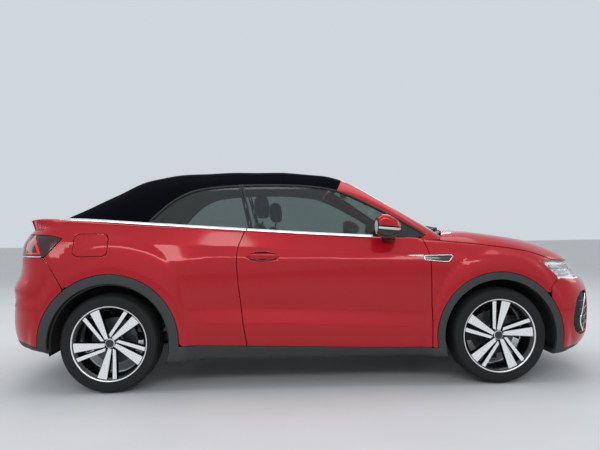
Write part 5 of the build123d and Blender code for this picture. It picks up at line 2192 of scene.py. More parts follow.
    def vent(self, side: Side) -> None:
        """The bright-edged vent on the wing and its tail on the door.

        Args:
            side: Which side of the car.
        """
        f = self.finishes
        shape = side_view(VENT)
        box = (755.0, 990.0, 825.0, 900.0)
        self.trim("wing_vent_frame", both(shape, lambda p: -(shape(p) + 5)), side, box, "body", f.bright,
            "steel_bright", 4.5, gap=0.0, edge=1.5, wall=6, lift=2.5)
        self.trim("wing_vent_mesh", shape, side, box, "body", f.piano, "plastic_black", 5.0, gap=4.0, edge=0.0,
            wall=5, lift=0.6)
        tail = side_view(((630, 886), (767, 875), (767, 888)))
        self.trim("door_vent_tail", tail, side, (620.0, 775.0, 868.0, 896.0), f"door_{side.word}_body",
            f.bright, "steel_bright", 4.0, gap=0.0, edge=1.5, wall=4, lift=2.5)

    def mirror_value(self, p: np.ndarray) -> np.ndarray:
        """The mirror head's field.

        Args:
            p: Points in millimetres.

        Returns:
            The field, negative inside the head.
        """
        reach = np.abs(p[:, 1]) - self.mirror_middle
        side = outline_distance(p[:, 0], p[:, 2], self.mirror_head) - 20
        front = p[:, 0] - 611 + 0.005 * (reach + 20) ** 2
        return smooth_max(smooth_max(side, np.abs(reach) - 61, 40.0), front, 22.0)

    def mirror(self, side: Side) -> None:
        """One door mirror: red cap, bright strip, black base, glass and foot.

        Args:
            side: Which side of the car.
        """
        f, door, s = self.finishes, f"door_{side.word}_body", side.value
        ys = stepped((840, 1014, 12))
        points, faces = box_rays(stepped((400, 640, 12)), ys if s > 0 else -ys[::-1], stepped((985, 1195, 11)))
        centre = np.array((520.0, s * self.mirror_middle, 1090.0))
        head = shrink_wrap(self.mirror_value, lambda p: centre + np.clip(p - centre, -30, 30), points, faces)
        line = lambda p: 1084 - 0.097 * (p[:, 0] - 425) - p[:, 2]  # noqa: E731
        rear = lambda p: 443 - p[:, 0]  # noqa: E731
        pieces = (("mirror_cap", both(line, rear), f.paint, "paint_red", dict(gap=1.0, edge=2.0, wall=6)),
            ("mirror_base", both(either(lambda p: -line(p) - 13, lambda p: -rear(p)),
            lambda p: -(both(slab(0, 0, 436), end_view(((880, 1060), (970, 1060), (970, 1130), (880, 1130)),
            14))(p))), f.piano, "plastic_black", dict(gap=0.5, edge=1.5, wall=6)),
            ("mirror_glass", both(slab(0, 0, 438), end_view(
            ((880, 1060), (970, 1060), (970, 1130), (880, 1130)), 14)), f.lamp_silver, "steel_bright",
            dict(gap=0.0, edge=1.0, wall=4, lift=-5)), ("mirror_strip",
            both(lambda p: -line(p) - 1, lambda p: line(p) - 13.5, rear), f.bright, "steel_bright",
            dict(gap=0.0, edge=1.5, wall=5, lift=1.5)),)
        for name, region, finish, slot, sizes in pieces:
            nodes = (f"mirror_{side.word}",) if name == "mirror_cap" else ()
            settle_piece(Panel(f"{name}_{side.word}", head, region, finish, **sizes).build(), door, nodes)
        path = np.array([(515, s * 900, 1040), (518, s * 886, 1016), (526, s * 868, 1002), (536, s * 846, 996),
            (540, s * 822, 994)], float)
        t = np.linspace(0, 4, 24)
        path = np.stack([np.interp(t, range(5), path[:, k]) for k in range(3)], 1)
        out = (1.0, 0.0, 0.0)
        lay(f"mirror_foot_{side.word}", path, oval(86, 30, 3), f.piano, out, door,
            scale=np.linspace(0.85, 1.15, 24))

    def headlamp(self, side: Side) -> None:
        """Dark modules, lenses and light guides behind the lamp's cover.

        Args:
            side: Which side of the car.
        """
        f = self.finishes
        inner = side_view(LAMP)
        box = (1580.0, 2040.0, 660.0, 850.0)
        for name, low, high, start, end, finish, lift in (
                ("upper_module", 788, 811, 1668, 1880, f.lamp_dark, -16),
                ("lower_module", 744, 757, 1738, 1850, f.lamp_dark, -16),
                ("box_0", 766, 777, 1700, 1728, f.lamp_dark, -15),
                ("box_1", 766, 777, 1760, 1795, f.lamp_dark, -15),
                ("box_2", 766, 777, 1825, 1855, f.lamp_dark, -15),
                ("upper_guide", 817, 824, 1640, 1900, f.light_guide, -12),
                ("lower_guide", 708, 726, 1733, 2030, f.light_guide, -12),):
            band = lambda p, a=low, b=high: np.maximum(a - 0.06 * (p[:, 0] - 1700) - p[:, 2],
                p[:, 2] - b + 0.06 * (p[:, 0] - 1700))  # noqa: E731
            shape = both(band, slab(0, start, end), lambda p: inner(p) + 5)
            self.trim(f"headlamp_{name}", shape, side, box, "body", finish, "lamp_clear", 6.0, gap=0.5,
                edge=2.0, wall=9, lift=lift)
        for k, x in enumerate((1745, 1810)):
            at = beside(self.body.form.value, np.array([(x, 772 - 0.06 * (x - 1700))]), side)[0]
            out = unit(gradient(self.body.form.value, at[None]))[0]
            lens = lathe("lens", [(0, -8), (9, -8), (9, 4), (7, 7), (0, 9)], f.lamp_silver, 32, closed=False)
            aim = Vector((0, -1, 0)).rotation_difference(Vector(out)).to_matrix().to_4x4()
            placed(lens, Matrix.Translation(Vector(at - out * 16)
                * MILLI) @ aim).name = f"headlamp_projector_{side.word}_{k}"
            settle_piece(lens, "body")

    def tail_lamp(self, side: Side) -> None:
        """The lit triangle and the bright line of the tail lamp.

        Args:
            side: Which side of the car.
        """
        f = self.finishes
        box = (-2110.0, -1700.0, 885.0, 1070.0)
        for name, shape, finish, lift in (("lit_edge", side_view(
                ((-1862, 1040), (-1846, 1040), (-1788, 928), (-1806, 928))), f.red_glow, 1.4),
                ("lit_base", side_view(((-1806, 928), (-1788, 928), (-1900, 928), (-1900, 938), (-1812, 938))),
                f.red_glow, 1.4), ("lit_rear", side_view(
                ((-1905, 1036), (-1893, 1036), (-1900, 928), (-1914, 928))), f.red_glow, 1.4),
                ("bright_line", side_view(((-2100, 915), (-1783, 915), (-1778, 908), (-2100, 908))), f.bright,
                1.6),):
            self.trim(f"tail_lamp_{name}", shape, side, box, "body", finish, "lamp_red", 4.5, gap=0.0, edge=1.2,
                wall=3, lift=lift)

    def nose(self) -> None:
        """Grille slot, lower mouth, corner intakes, their edges and slats, plate and tow cover."""
        f = self.finishes
        grille = self.body.grille_regions()
        for name, lows, span in (("slot", (712, 726, 740), 480), ("mouth", (318, 346, 374, 402, 430), 520)):
            for k, z in enumerate(lows):
                y = np.linspace(-span, span, 50)
                path = self.on_end(y, z) - (10, 0, 0)
                lay(f"grille_{name}_slat_{k}", path, oval(16, 5, 3), f.piano, (1.0, 0.0, 0.0))
        stud = slab_piece("stud", ((-4, -4), (4, -4), (4, 4), (-4, 4)), (-3, 3), 0, f.piano, 0.8, 1)
        y = np.linspace(-500, 500, 60)
        self.repeat_along("grille_mouth_studs", self.on_end(y, 460.0) - (4, 0, 0), stud, 26)
        for side in Side:
            s = side.value
            heights, breadths = (588, 520, 454, 391, 335), (762, 810, 836, 832, 795)
            curve = Spline([(-z, y) for z, y in zip(heights, breadths)])
            z = np.linspace(heights[0], heights[-1], 50)
            y = curve(-z) * s
            path = self.on_end(y, z)
            out = unit(np.array([[0.72, s * 0.69, 0.0]]))[0]
            lay(f"intake_edge_{side.word}", path + out * 1.0, oval(7, 15, 3), f.bright, out, "body",
                "steel_bright")
            for k in range(5):
                zc = 330 + 55 * k
                y = s * np.linspace(625, 845, 26)
                path = self.on_end(y, zc) - (14, 0, 0)
                lay(f"intake_slat_{side.word}_{k}", path, oval(12, 5, 3), f.piano, (1.0, 0.0, 0.0))
        self.plate("front", 555, 1, grille["plate"])
        cover = both(lambda p: np.hypot(p[:, 1] + 430, p[:, 2] - 540) - 34, slab(0, 1500))
        self.end_trim("tow_cover", cover, True, (-480.0, -380.0, 495.0, 585.0), f.paint, "paint_red", gap=0.6,
            edge=1.2, wall=4, lift=0.6)

    def repeat_along(self, name: str, path: np.ndarray, source: bpy.types.Object, spacing: float) -> None:
        """Set copies of a small piece along a path and keep them as one mesh."""
        settle_piece(Repeat.along(name, path, source, spacing), "body")

    def plate(self, word: str, height: float, sign: int, region: Field) -> None:
        """A number plate's black carrier under the bare plate, and the recess behind it.

        Args:
            word: End of the car, for the names.
            height: The plate's middle, in millimetres.
            sign: 1 at the front, -1 at the rear.
            region: Where the recess behind it lies.
        """
        f = self.finishes
        outline = [tuple(p) for p in rounded(((-276, height - 66), (276, height - 66), (276, height + 66),
            (-276, height + 66)), 16, 12)]
        x = (2096, 2110) if sign > 0 else (-2112, -2098)
        carrier = slab_piece(f"plate_carrier_{word}", outline, x, 0, f.cladding, 2.0)
        settle_piece(carrier, "body")
        backing = Panel(f"plate_recess_{word}", self.body.skin, region, f.cladding, gap=-3, edge=0, wall=6,
            lift=-20)
        settle_piece(backing.build(), "body")

    def tail(self) -> None:
        """Spoiler lip, reflectors, exhaust trims and rear plate."""
        f = self.finishes
        y = np.linspace(-700, 700, 120)
        x = -(1985 - 66 * (np.abs(y) / 600) ** 2.4)
        z = 1157 - 12 * (np.abs(y) / 700) ** 2
        path = np.stack([x, y, z], 1)
        wing = np.array([(34, -3), (10, 9), (-40, 13), (-90, 6), (-60, -14), (-8, -14), (34, -8)], float)[::-1]
        size = np.clip((706 - np.abs(y)) / 60, 0.15, 1) ** 0.5
        lay("boot_spoiler", path, wing, f.paint, (-1.0, 0.0, 0.0), "boot_lid_body", "paint_red", scale=size)
        self.plate("rear", 575, -1, self.body.grille_regions()["rear_plate"])
        for side in Side:
            s = side.value
            y0, y1 = sorted((s * 560.0, s * 800.0))
            region = self.body.grille_regions()["reflectors"]
            self.end_trim(f"rear_reflector_{side.word}", region, False, (y0, y1, 540.0, 610.0), f.red_lens,
                "lamp_red", gap=0.4, edge=1.5, wall=5, lift=-1)
            shape = end_view([tuple(p) for p in rounded(((400, 268), (640, 268), (620, 322), (420, 322)), 22,
                8)])
            y0, y1 = sorted((s * 380.0, s * 660.0))
            self.end_trim(f"exhaust_trim_{side.word}", both(shape, lambda p, q=shape: -(q(p) + 11)), False,
                (y0, y1, 250.0, 340.0), f.bright, "steel_bright", gap=0.0, edge=3, wall=22, lift=5)
            self.end_trim(f"exhaust_inner_{side.word}", shape, False, (y0, y1, 250.0, 340.0), f.piano,
                "plastic_black", gap=9.0, edge=0, wall=5, lift=1)
        path = self.on_end(np.linspace(-300, 300, 60), 800.0, -1)
        lay("boot_grip", path - (0.5, 0, 0), oval(10, 16, 3), f.piano, (-1.0, 0.0, 0.0), "boot_lid_body")

    def scuttle(self) -> None:
        """The black panel below the windscreen and the two wipers."""
        f = self.finishes
        us, vs = np.linspace(-720, 720, 61), np.linspace(0, 1, 9)
        gu, gv = np.meshgrid(us, vs, indexing="ij")
        arc = 1 - (gu / 900) ** 2
        front, rear = self.body.bonnet_rear - 6 + self.body.bonnet_bow * arc, 790 + 170 * arc
        x = rear + (front - rear) * gv
        z = 1028 + 24 * (1 - (gu / 760) ** 2) - 14 * np.sin(np.pi * gv)
        points = np.stack([x, gu, z], -1).reshape(-1, 3)
        i, j = np.meshgrid(np.arange(60), np.arange(8), indexing="ij")
        a = (i * 9 + j).ravel()
        faces = np.concatenate([np.stack([a, a + 10, a + 1], 1), np.stack([a, a + 9, a + 10], 1)])
        sheet = mesh_object("cowl_panel", points, faces, f.cladding)
        piece = turned_out(modified(sheet, "SOLIDIFY", thickness=0.006, offset=-1.0))
        settle_piece(piece, "body", ("cowl",))
        screen = self.roof.form.value
        for k, (pivot, tip) in enumerate((((1005, -330, 1052), (950, 300, 1084)),
                ((985, 330, 1050), (905, 700, 1068)))):
            t = np.linspace(0, 1, 40)[:, None]
            line = np.array(pivot, float) * (1 - t) + np.array(tip, float) * t
            path = land(screen, line - (140, 0, 110), line + (140, 0, 110))
            out = unit(gradient(screen, path))
            lay(f"wiper_blade_{k}", path + out * 7, oval(12, 9, 2.5), f.seal, out)
            arm = path[:26] + out[:26] * np.linspace(22, 15, 26)[:, None]
            lay(f"wiper_arm_{k}", arm, oval(7, 13, 2.5), f.cladding, out[:26], scale=np.linspace(1.5, 0.8, 26))
            cap = lathe("cap", [(0, -16), (15, -16), (15, 4), (12, 8), (0, 9)], f.cladding, 24, closed=False)
            placed(cap, Matrix.Translation(Vector(arm[0]) * MILLI) @ Matrix.Rotation(-math.pi / 2, 4,
                "X")).name = f"wiper_pivot_{k}"
            settle_piece(cap, "body")


# ---- cabin, bays and inner sides -----------------------------------------------------------------
@dataclass
class Cushion:
    """A padded form: an outline in side view, a breadth and its sewn lines.

    Attributes:
        name: The piece's name.
        outline: Corner points in x and z.
        middle: Y of its middle.
        half: Half of its breadth.
        rounding: Radius of its edges.
        seams: Distances from the middle of the lengthwise seams.
        flutes: Direction and spacing of the sewn channels: x, z, spacing.
        swell: Most that the filling may push the cloth out.
        grain: Size of the cloth's cells before they are halved, in metres.
        cell: Grid spacing of the form before it is filled.
        seam: Depth and half-breadth of a pressed seam.
        flute: Depth of a sewn channel.
        pressure: Force of the filling.
        steps: Steps of the cloth simulation.
    """

    name: str
    outline: Outline
    middle: float
    half: float
    rounding: float = 44.0
    seams: tuple[float, ...] = (150.0,)
    flutes: tuple[float, float, float] | None = None
    swell: float = 12.0
    grain: float = 0.022
    cell: float = 14.0
    seam: tuple[float, float] = (6.0, 7.0)
    flute: float = 4.5
    pressure: float = 4.0
    steps: int = 20

    def value(self, p: np.ndarray) -> np.ndarray:
        """The cushion's field before it is filled."""
        side = outline_distance(p[:, 0], p[:, 2], self.outline)
        return smooth_max(side, np.abs(p[:, 1] - self.middle) - self.half + 8, 2.2 * self.rounding) + 4

    def build(self, finish: bpy.types.Material) -> bpy.types.Object:
        """Fill the cushion by cloth simulation and press its seams in.

        Args:
            finish: Its cloth.

        Returns:
            The piece.
        """
        corners = np.array(self.outline, float)
        low, high = corners.min(0) - 20, corners.max(0) + 20
        points, faces = box_rays(stepped((low[0], high[0], self.cell)),
            self.middle + stepped((-self.half - 20, self.half + 20, self.cell)),
            stepped((low[1], high[1], self.cell)))
        heart = corners.mean(0)
        core = lambda p: places(heart[0], np.clip(p[:, 1], self.middle - 0.7 * self.half,
            self.middle + 0.7 * self.half), heart[1])  # noqa: E731
        skin = shrink_wrap(self.value, core, points, faces)
        piece = mesh_object(self.name, skin.points, skin.faces, finish)
        piece = modified(piece, "REMESH", mode="VOXEL", voxel_size=self.grain)
        self.fill(piece)
        piece = modified(piece, "SUBSURF", levels=1, render_levels=1)
        mesh = piece.data
        co, normal = vertex_rows(mesh) / MILLI, vertex_rows(mesh, "normal")
        away = np.abs(co[:, 1] - self.middle)
        depth, breadth = self.seam
        pressed = sum(depth * np.exp(-((away - seam) / breadth) ** 2) for seam in self.seams)
        if self.flutes:
            run = (co[:, 0] * self.flutes[0] + co[:, 2] * self.flutes[1]) / self.flutes[2]
            pressed = pressed + np.where(away < self.seams[0] - 4,
                self.flute * (1 - np.abs(np.sin(np.pi * run))) ** 5, 0)
        mesh.vertices.foreach_set("co", ((co - normal * pressed[:, None]) * MILLI).ravel())
        mesh.update()
        mesh.shade_smooth()
        mesh.materials.clear()
        mesh.materials.append(finish)
        return piece

    def fill(self, piece: bpy.types.Object) -> None:
        """Swell the cloth with pressure and cap its travel.

        Args:
            piece: The cushion before it swells.
        """
        start = vertex_rows(piece.data)
        cloth = piece.modifiers.new("cloth", "CLOTH")
        cloth.settings.use_pressure, cloth.settings.uniform_pressure_force = True, self.pressure
        cloth.settings.effector_weights.gravity = 0.0
        cloth.settings.quality = 4
        for step in range(1, self.steps + 1):
            bpy.context.scene.frame_set(step)
        shown = piece.evaluated_get(bpy.context.evaluated_depsgraph_get())
        travel = vertex_rows(shown.data) - start
        piece.modifiers.remove(cloth)
        bpy.context.scene.frame_set(1)
        length = np.linalg.norm(travel, axis=1, keepdims=True)
        travel *= np.minimum(1, self.swell * MILLI / np.maximum(length, 1e-9))
        piece.data.vertices.foreach_set("co", (start + travel).ravel())
        piece.data.update()


@dataclass
class Cabin:
    """Seats, dash, wheel, door cards, carpets and the linings of the two lids.

    Attributes:
        finishes: The materials.
        body: The painted body.
        column: Centre of the steering wheel.
        rake: Lean of the steering column in degrees.
        slid: How far back on its rails the right seat stands.
        raised: How much higher that seat's cushions stand, in metres.
        seat: Side view of a front seat's cushion.
        back: Side view of its backrest.
        dash: Side view of the dash.
    """

    finishes: Finishes
    body: Body
    column: tuple[float, float, float] = (400.0, 370.0, 900.0)
    rake: float = 24.0
    slid: float = 100.0
    raised: float = 0.02
    seat: Outline = ((185, 412), (205, 470), (196, 524), (60, 520), (-110, 496), (-190, 480), (-230, 412))
    back: Outline = ((-118, 470), (-128, 560), (-170, 800), (-218, 1090), (-238, 1122), (-288, 1120),
        (-302, 1080), (-280, 700), (-262, 470))
    dash: Outline = ((566, 960), (640, 992), (760, 975), (896, 958), (912, 900), (912, 650), (770, 575),
        (690, 700), (600, 800))

    def block(self, name: str, outline: Outline, half: float, middle: float, rounding: float,
            finish: bpy.types.Material, step: float = 22.0,
            replaces: Sequence[str] = ()) -> bpy.types.Object:
        """A hard moulded form with rounded edges, fixed to the body.

        Args:
            name: The piece's name.
            outline: Corner points in x and z.
            half: Half of its breadth.
            middle: Y of its middle.
            rounding: Breadth of its edges' rounding.
            finish: Its material.
            step: Grid spacing.
            replaces: The nodes it stands for.

        Returns:
            The closed piece.
        """
        corners = np.array(outline, float)
        value = lambda p: smooth_max(outline_distance(p[:, 0], p[:, 2], outline),
            np.abs(p[:, 1] - middle) - half, rounding)  # noqa: E731
        low, high = corners.min(0) - 15, corners.max(0) + 15
        points, faces = box_rays(stepped((low[0], high[0], step)),
            middle + stepped((-half - 15, half + 15, step)), stepped((low[1], high[1], step)))
        heart = corners.mean(0)
        core = lambda p: places(heart[0], middle + np.clip(p[:, 1] - middle, -0.75 * half, 0.75 * half),
            heart[1])  # noqa: E731
        skin = shrink_wrap(value, core, points, faces)
        piece = turned_out(mesh_object(name, skin.points, skin.faces, finish))
        return settle_piece(piece, "body", replaces)

    def build(self) -> None:
        """Make the inside."""
        self.seats()
        self.dashboard()
        self.wheel()
        self.cards()
        self.bays()

    def seats(self) -> None:
        """Two front seats and the rear bench, with their head restraints."""
        f = self.finishes
        master = {"base": Cushion("base", self.seat, 370, 238, flutes=(1, 0, 82)),
            "back": Cushion("back", self.back, 370, 238, flutes=(0, 1, 88)),
            "rest": Cushion("rest", ((-180, 1136), (-172, 1200), (-188, 1300), (-250, 1328), (-298, 1284),
            (-296, 1190), (-266, 1134)), 370, 125, 36, (98,)),}
        for key, cushion in master.items():
            right = cushion.build(f.cloth)
            left = copied(right, "left")
            for piece, side in ((right, Side.LEFT), (left, Side.RIGHT)):
                if side is Side.RIGHT:
                    placed(piece, Matrix.Translation((-self.slid * MILLI, 0, self.raised)) @ Matrix.Scale(-1, 4,
                        (0, 1, 0)))
                    turned_out(piece)
                piece.name = piece.data.name = f"front_seat_{key}_{side.word}"
                settle_piece(piece, "body", ("front_seats",))
        bench = (Cushion("bench_base", ((-478, 455), (-486, 535), (-620, 532), (-850, 510), (-900, 460)), 0,
            590, seams=(20, 300, 540), grain=0.024), Cushion("bench_back",
            ((-862, 480), (-925, 800), (-996, 1066), (-1050, 1068), (-1112, 1050), (-930, 480)), 0, 590,
            seams=(20, 300, 540), grain=0.024), Cushion("bench_rest_left",
            ((-1055, 1080), (-1060, 1170), (-1112, 1174), (-1124, 1084)), 330, 112, 26, (88,)),
            Cushion("bench_rest_right", ((-1055, 1080), (-1060, 1170), (-1112, 1174), (-1124, 1084)), -330, 112,
            26, (88,)),)
        for cushion in bench:
            piece = cushion.build(f.cloth)
            settle_piece(piece, "body", ("rear_bench",))
        for side in Side:
            y, slid = side.value * 370.0, self.slid if side is Side.RIGHT else 0.0
            shell, plinth = (tuple((x - slid, z) for x, z in outline)
                for outline in (((-255, 430), (-290, 560), (-300, 1020), (-275, 1040), (-250, 700),
                (-215, 430)), ((150, 378), (172, 440), (-190, 440), (-200, 378))))
            self.block(f"seat_shell_{side.word}", shell, 215, y, 26, f.trim_black)
            self.block(f"seat_plinth_{side.word}", plinth, 205, y, 26, f.trim_black)
            for k in (-55, 55):
                path = places(np.linspace(-246, -232, 8) - slid, y + k, np.linspace(1060, 1135, 8))
                lay(f"rest_post_{side.word}_{'in' if k < 0 else 'out'}", path, oval(11, 11), f.stainless,
                    (1.0, 0, 0), "body", "steel_bright")

    def dashboard(self) -> None:
        """Dash, instrument hood, screens, vents, console and lever."""
        f = self.finishes
        self.block("dash_body", self.dash, 684, 0, 40, f.trim_black, replaces=("dashboard",))
        self.block("console_body", ((560, 378), (760, 378), (740, 590), (560, 560), (300, 540), (80, 585),
            (-230, 590), (-236, 378)), 104, 0, 30, f.trim_black)
        self.block("instrument_hood", ((548, 960), (560, 1012), (640, 1030), (700, 1000), (690, 940)), 170, 370,
            30, f.trim_black, 10)
        self.block("column_shroud", ((450, 815), (460, 905), (570, 960), (600, 900)), 46, 370, 26, f.trim_black,
            8)
        settle_piece(slab_piece("instrument_screen", ((235, 925), (505, 925), (505, 1000), (235, 1000)),
            (548, 556), 0, f.piano, 2), "body")
        settle_piece(slab_piece("centre_screen", ((-118, 895), (118, 895), (118, 1018), (-118, 1018)),
            (552, 572), 0, f.piano, 3), "body")
        slat = slab_piece("slat", ((-52, -2.2), (52, -2.2), (52, 2.2), (-52, 2.2)), (-6, 6), 0, f.piano, 0.8, 1)
        for k, y in enumerate((-600, -180, 180, 600)):
            path = np.array([(594.0, y, 838.0 + 12 * n) for n in range(6)])
            copy = copied(slat, "slat_copy")
            copy.data.transform(Matrix.Rotation(math.pi / 2, 4, "Y"))
            settle_piece(Repeat.along(f"air_vent_slats_{k}", path, copy, 11), "body")
        bpy.data.objects.remove(slat)
        settle_piece(lathe_at("gear_knob", [(0, 0), (13, 2), (22, 22), (24, 44), (17, 60), (0, 64)], f.leather,
            (330, 0, 600)), "body")
        lay("gear_lever", np.array([(330, 0, 545), (330, 0, 575), (330, 0, 606)], float), oval(12, 12),
            f.stainless, (1.0, 0, 0), "body", "steel_bright")
        self.block("inner_mirror", ((330, 1318), (318, 1376), (334, 1380), (348, 1320)), 118, 0, 12, f.piano, 6)
        stem = np.array([(338, 0, 1352), (362, 0, 1384), (392, 0, 1397)], float)
        lay("inner_mirror_stem", stem, oval(16, 20), f.seal, (0.0, 1.0, 0.0))

    def wheel(self) -> None:
        """The steering wheel: leather rim, three spokes and a plain pad."""
        f = self.finishes
        t = np.linspace(0, 2 * np.pi, 96, endpoint=False)
        ring = places(0.0, 178 * np.cos(t), 178 * np.sin(t))
        rim = swept("steering_rim", ring, oval(31, 29, 2.2), f.leather, out=unit(ring), closed=True)
        pad = slab_piece("steering_pad", [tuple(p) for p in rounded(
            ((-72, -48), (72, -48), (66, 44), (-66, 44)), 26, 6)], (-24, 12), 0, f.trim_black, 9)
        spokes = []
        for k, angle in enumerate((0, math.pi, -math.pi / 2)):
            along = np.linspace(52, 168, 12)
            path = places(-4.0, along * math.cos(angle), along * math.sin(angle))
            spokes.append(swept(f"spoke_{k}", path, oval(13, 32, 3), f.piano, out=(1.0, 0, 0)))
        to = Matrix.Translation(Vector(self.column) * MILLI) @ Matrix.Rotation(math.radians(self.rake), 4, "Y")
        for piece, name, slot in ((rim, "steering_rim", "trim_black"), (pad, "steering_pad", "trim_black"),
                (joined("steering_spokes", spokes), "steering_spokes", "trim_black")):
            placed(piece, to).name = name
            settle_piece(piece, "steering_wheel_body", ("steering_wheel",))

    def cards(self) -> None:
        """Door cores, door cards with armrests and pulls, and the rear side linings."""
        f, body = self.finishes, self.body
        door = both(side_view(body.door_outline()), slab(1, 700),
            lambda p: p[:, 2] - body.form.rows[-1][0](p[:, 0]) + 4, slab(2, 262, 1200))
        for side in Side:
            name, half = f"door_{side.word}_body", on_side(side)
            body.panel(f"door_frame_{side.word}", both(door, half, slab(0, -600, 772)), name, f.paint,
                "paint_red", hidden=True, gap=9, edge=4, wall=58, lift=-20)
            body.panel(f"door_card_{side.word}", both(door, half), name, f.trim_black, "trim_black",
                hidden=True, gap=26, edge=4, wall=10, lift=-79)
            t = np.linspace(0, 1, 30)
            s = side.value
            path = np.stack([-330 + 760 * t, s * (778 - 14 * np.sin(np.pi * t)), 742 + 40 * t], 1)
            lay(f"door_armrest_{side.word}", path, oval(52, 60, 3), f.trim_grey, (0.0, s, 0.0), name,
                "trim_grey", scale=0.55 + 0.45 * np.sin(np.pi * t) ** 0.4)
            path = np.stack([240 + 90 * t, np.full(30, s * 770.0) - s * 22 * np.sin(np.pi * t), 905 + 6 * t], 1)
            lay(f"door_pull_{side.word}", path, oval(9, 15, 3), f.bright, (0.0, s, 0.0), name, "steel_bright")
        rear = both(slab(0, -1230, -500), slab(1, 600), slab(2, 420, 1060),
            without(body.rear.ring(body.rear.cladding)),
            lambda p: p[:, 2] - body.form.rows[-1][0](p[:, 0]) + 10)
        body.panel("rear_side_linings", rear, "body", f.headliner, "trim_grey", hidden=True, gap=0, edge=4,
            wall=10, lift=-84)

    def bays(self) -> None:
        """Linings under the bonnet and boot lid, the engine's cover and the carpets."""
        f, body = self.finishes, self.body
        bonnet = both(body.bonnet_region, slab(1, 0, 640))
        body.panel("bonnet_lining", bonnet, "bonnet_body", f.floor_carpet, "fabric_black", hidden=True, gap=70,
            edge=8, wall=9, lift=-15)
        body.panel("boot_lid_lining", body.lid_region, "boot_lid_body", f.floor_carpet, "fabric_black",
            hidden=True, gap=34, edge=6, wall=9, lift=-15)
        self.block("engine_cover", ((1180, 822), (1200, 852), (1560, 846), (1600, 822)), 250, 0, 16,
            f.trim_black, 16)
        rib = slab_piece("rib", ((-190, -3), (190, -3), (190, 5), (-190, 5)), (-5, 5), 0, f.trim_black, 1.5, 1)
        path = np.array([(1230.0 + 45 * k, 0, 851.0 - 0.6 * k) for k in range(8)])
        settle_piece(Repeat.along("engine_cover_ribs", path, rib, 45), "body")
        self.block("battery_box", ((1250, 640), (1250, 800), (1450, 800), (1450, 640)), 60, 402, 10,
            f.trim_black, 14)
        self.block("coolant_tank", ((1350, 680), (1350, 800), (1490, 800), (1490, 680)), 60, -405, 22, f.plate,
            8)
        settle_piece(lathe_at("coolant_cap", [(0, 0), (26, 0), (26, 20), (22, 24), (0, 24)], f.piano,
            (1420, -405, 798)), "body")
        settle_piece(slab_piece("cabin_carpet", ((-430, -620), (900, -560), (900, 560), (-430, 620)),
            (372.5, 379), 2, f.floor_carpet, 2), "body")


def lathe_at(name: str, profile: Sequence[tuple[float, float]], finish: bpy.types.Material,
        place: tuple[float, float, float]) -> bpy.types.Object:
    """A turned piece standing upright at a place in millimetres."""
    piece = lathe(name, profile, finish, 32, closed=False)
    return placed(piece, Matrix.Translation(Vector(place) * MILLI) @ Matrix.Rotation(-math.pi / 2, 4, "X"))


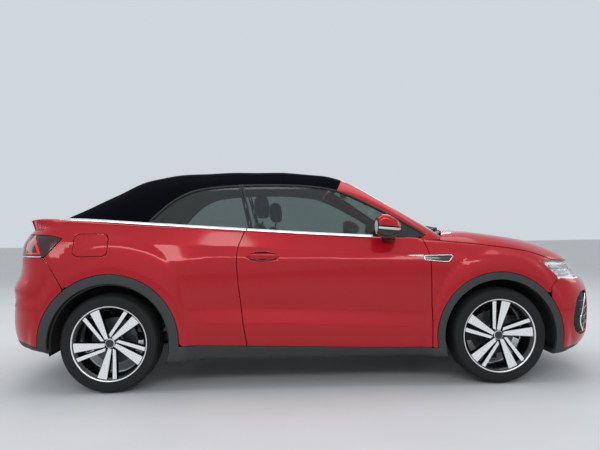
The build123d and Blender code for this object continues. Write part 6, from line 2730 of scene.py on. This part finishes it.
# ---- stage ---------------------------------------------------------------------------------------
@dataclass
class Stage:
    """Floor, backdrop light and camera.

    Attributes:
        camera_place: The camera, in metres.
        yaw: Turn of the view from straight across the car, in degrees.
        pitch: Upward tilt, in degrees.
        roll: Lean of the frame, in degrees.
        lens: Focal length for a 36 mm wide frame.
    """

    camera_place: tuple[float, float, float] = (-0.222, -4.506, 1.060)
    yaw: float = 2.41
    pitch: float = 0.63
    roll: float = -0.765
    lens: float = 32.4

    def build(self) -> None:
        """Make the camera, floor, world and lamps."""
        scene = bpy.context.scene
        yaw, pitch, roll = map(math.radians, (self.yaw, self.pitch, self.roll))
        ahead = Vector((math.sin(yaw) * math.cos(pitch), math.cos(yaw) * math.cos(pitch), math.sin(pitch)))
        right = Vector((math.cos(yaw), -math.sin(yaw), 0))
        up = right.cross(ahead)
        leaned_right = right * math.cos(roll) + up * math.sin(roll)
        leaned_up = up * math.cos(roll) - right * math.sin(roll)
        data = bpy.data.cameras.new("camera")
        data.lens, data.sensor_width, data.clip_end = self.lens, 36.0, 200.0
        camera = bpy.data.objects.new("camera", data)
        scene.collection.objects.link(camera)
        turn = Matrix((leaned_right, leaned_up, -ahead)).transposed()
        camera.matrix_world = Matrix.Translation(self.camera_place) @ turn.to_4x4()
        scene.camera = camera
        self.floor()
        self.world()
        for name, place, aim, size, power in (
            ("overhead", (0, 0, 5.2), (0, 0, 0), (7.0, 3.6), 120),
            ("near_side", (-0.4, -6.5, 3.9), (0, 0, 0.7), (7.0, 1.1), 120),
            ("far_side", (0, 6.5, 3.9), (0, 0, 0.7), (7.0, 1.1), 120),
            ("front_end", (6.5, 0, 2.8), (0, 0, 0.7), (3.0, 2.2), 40),
            ("rear_end", (-6.5, 0, 2.8), (0, 0, 0.7), (3.0, 2.2), 40),
        ):
            lamp = bpy.data.lights.new(name, "AREA")
            lamp.shape, lamp.size, lamp.size_y, lamp.energy = "RECTANGLE", size[0], size[1], power
            made = bpy.data.objects.new(name, lamp)
            made.location = place
            made.rotation_euler = (Vector(aim) - Vector(place)).to_track_quat("-Z", "Y").to_euler()
            scene.collection.objects.link(made)
        scene.view_settings.view_transform = "Standard"

    def floor(self) -> None:
        """A pale painted floor."""
        material = bpy.data.materials.new("concrete_painted_pale")
        material.use_nodes = True
        tree = material.node_tree
        shader = tree.nodes["Principled BSDF"]
        place = add_node(tree, "ShaderNodeTexCoord")
        cloud = add_node(tree, "ShaderNodeTexNoise", {"Vector": place.outputs["Object"], "Scale": 2.0,
            "Detail": 6.0})
        mix = add_node(tree, "ShaderNodeMix", {"Factor": cloud.outputs[0]}, data_type="RGBA")
        mix.inputs[6].default_value, mix.inputs[7].default_value = linear("#c9cbcd"), linear("#d3d5d7")
        tree.links.new(mix.outputs[2], shader.inputs["Base Color"])
        shader.inputs["Roughness"].default_value = 0.6
        mesh = bpy.data.meshes.new("floor")
        reach = 40.0
        mesh.from_pydata([(-reach, -reach, 0), (reach, -reach, 0), (reach, reach, 0), (-reach, reach, 0)], [],
            [(0, 1, 2, 3)])
        mesh.materials.append(material)
        floor = bpy.data.objects.new("floor", mesh)
        bpy.context.scene.collection.objects.link(floor)

    def world(self) -> None:
        """Pale even surroundings."""
        world = bpy.data.worlds.new("studio")
        bpy.context.scene.world = world
        world.use_nodes = True
        tree = world.node_tree
        tree.nodes.clear()
        back = add_node(tree, "ShaderNodeBackground", {"Color": linear("#dde1e4"), "Strength": 0.85})
        seen = add_node(tree, "ShaderNodeBackground", {"Color": linear("#cfd6dc"), "Strength": 1.0})
        path = add_node(tree, "ShaderNodeLightPath")
        shown = path.outputs["Is Camera Ray"]
        for ray in ("Is Glossy Ray", "Is Transmission Ray"):
            shown = add_node(tree, "ShaderNodeMath", {0: shown, 1: path.outputs[ray]},
                operation="MAXIMUM").outputs[0]
        mix = add_node(tree, "ShaderNodeMixShader", {0: shown, 1: back.outputs[0], 2: seen.outputs[0]})
        add_node(tree, "ShaderNodeOutputWorld", {"Surface": mix.outputs[0]})


def dress_frame(finishes: Finishes) -> None:
    """Give every carried-over node its material.

    Args:
        finishes: The materials.
    """
    by_slot = {
        "paint_red": finishes.paint, "plastic_black": finishes.cladding, "lamp_clear": finishes.lens,
        "lamp_red": finishes.red_lens, "glass_tinted": finishes.glass, "plate_white": finishes.plate,
        "fabric_black": finishes.canvas, "steel_dark": finishes.steel, "cast_block": finishes.alloy,
        "steel_bright": finishes.stainless, "trim_grey": finishes.trim_grey, "trim_black": finishes.trim_black,
        "seat_cloth": finishes.cloth, "tyre": finishes.rubber, "rim_alloy": finishes.wheel_black,
    }
    for part in frame["record"]["subparts"]:
        node = frame["nodes"][part["node"]]
        node.data.materials.clear()
        node.data.materials.append(by_slot[part["material_slot"]])


def main() -> None:
    """Build the car's sub-assemblies in order, then the stage."""
    logging.basicConfig(level=logging.INFO, format="%(message)s")
    finishes = Finishes()
    dress_frame(finishes)
    body = Body(finishes)
    body.build()
    roof = Roof(finishes, body)
    roof.build()
    Trims(finishes, body, roof).build()
    Cabin(finishes, body).build()
    Wheels(finishes).build()
    Stage().build()


if __name__ == "__main__":
    main()
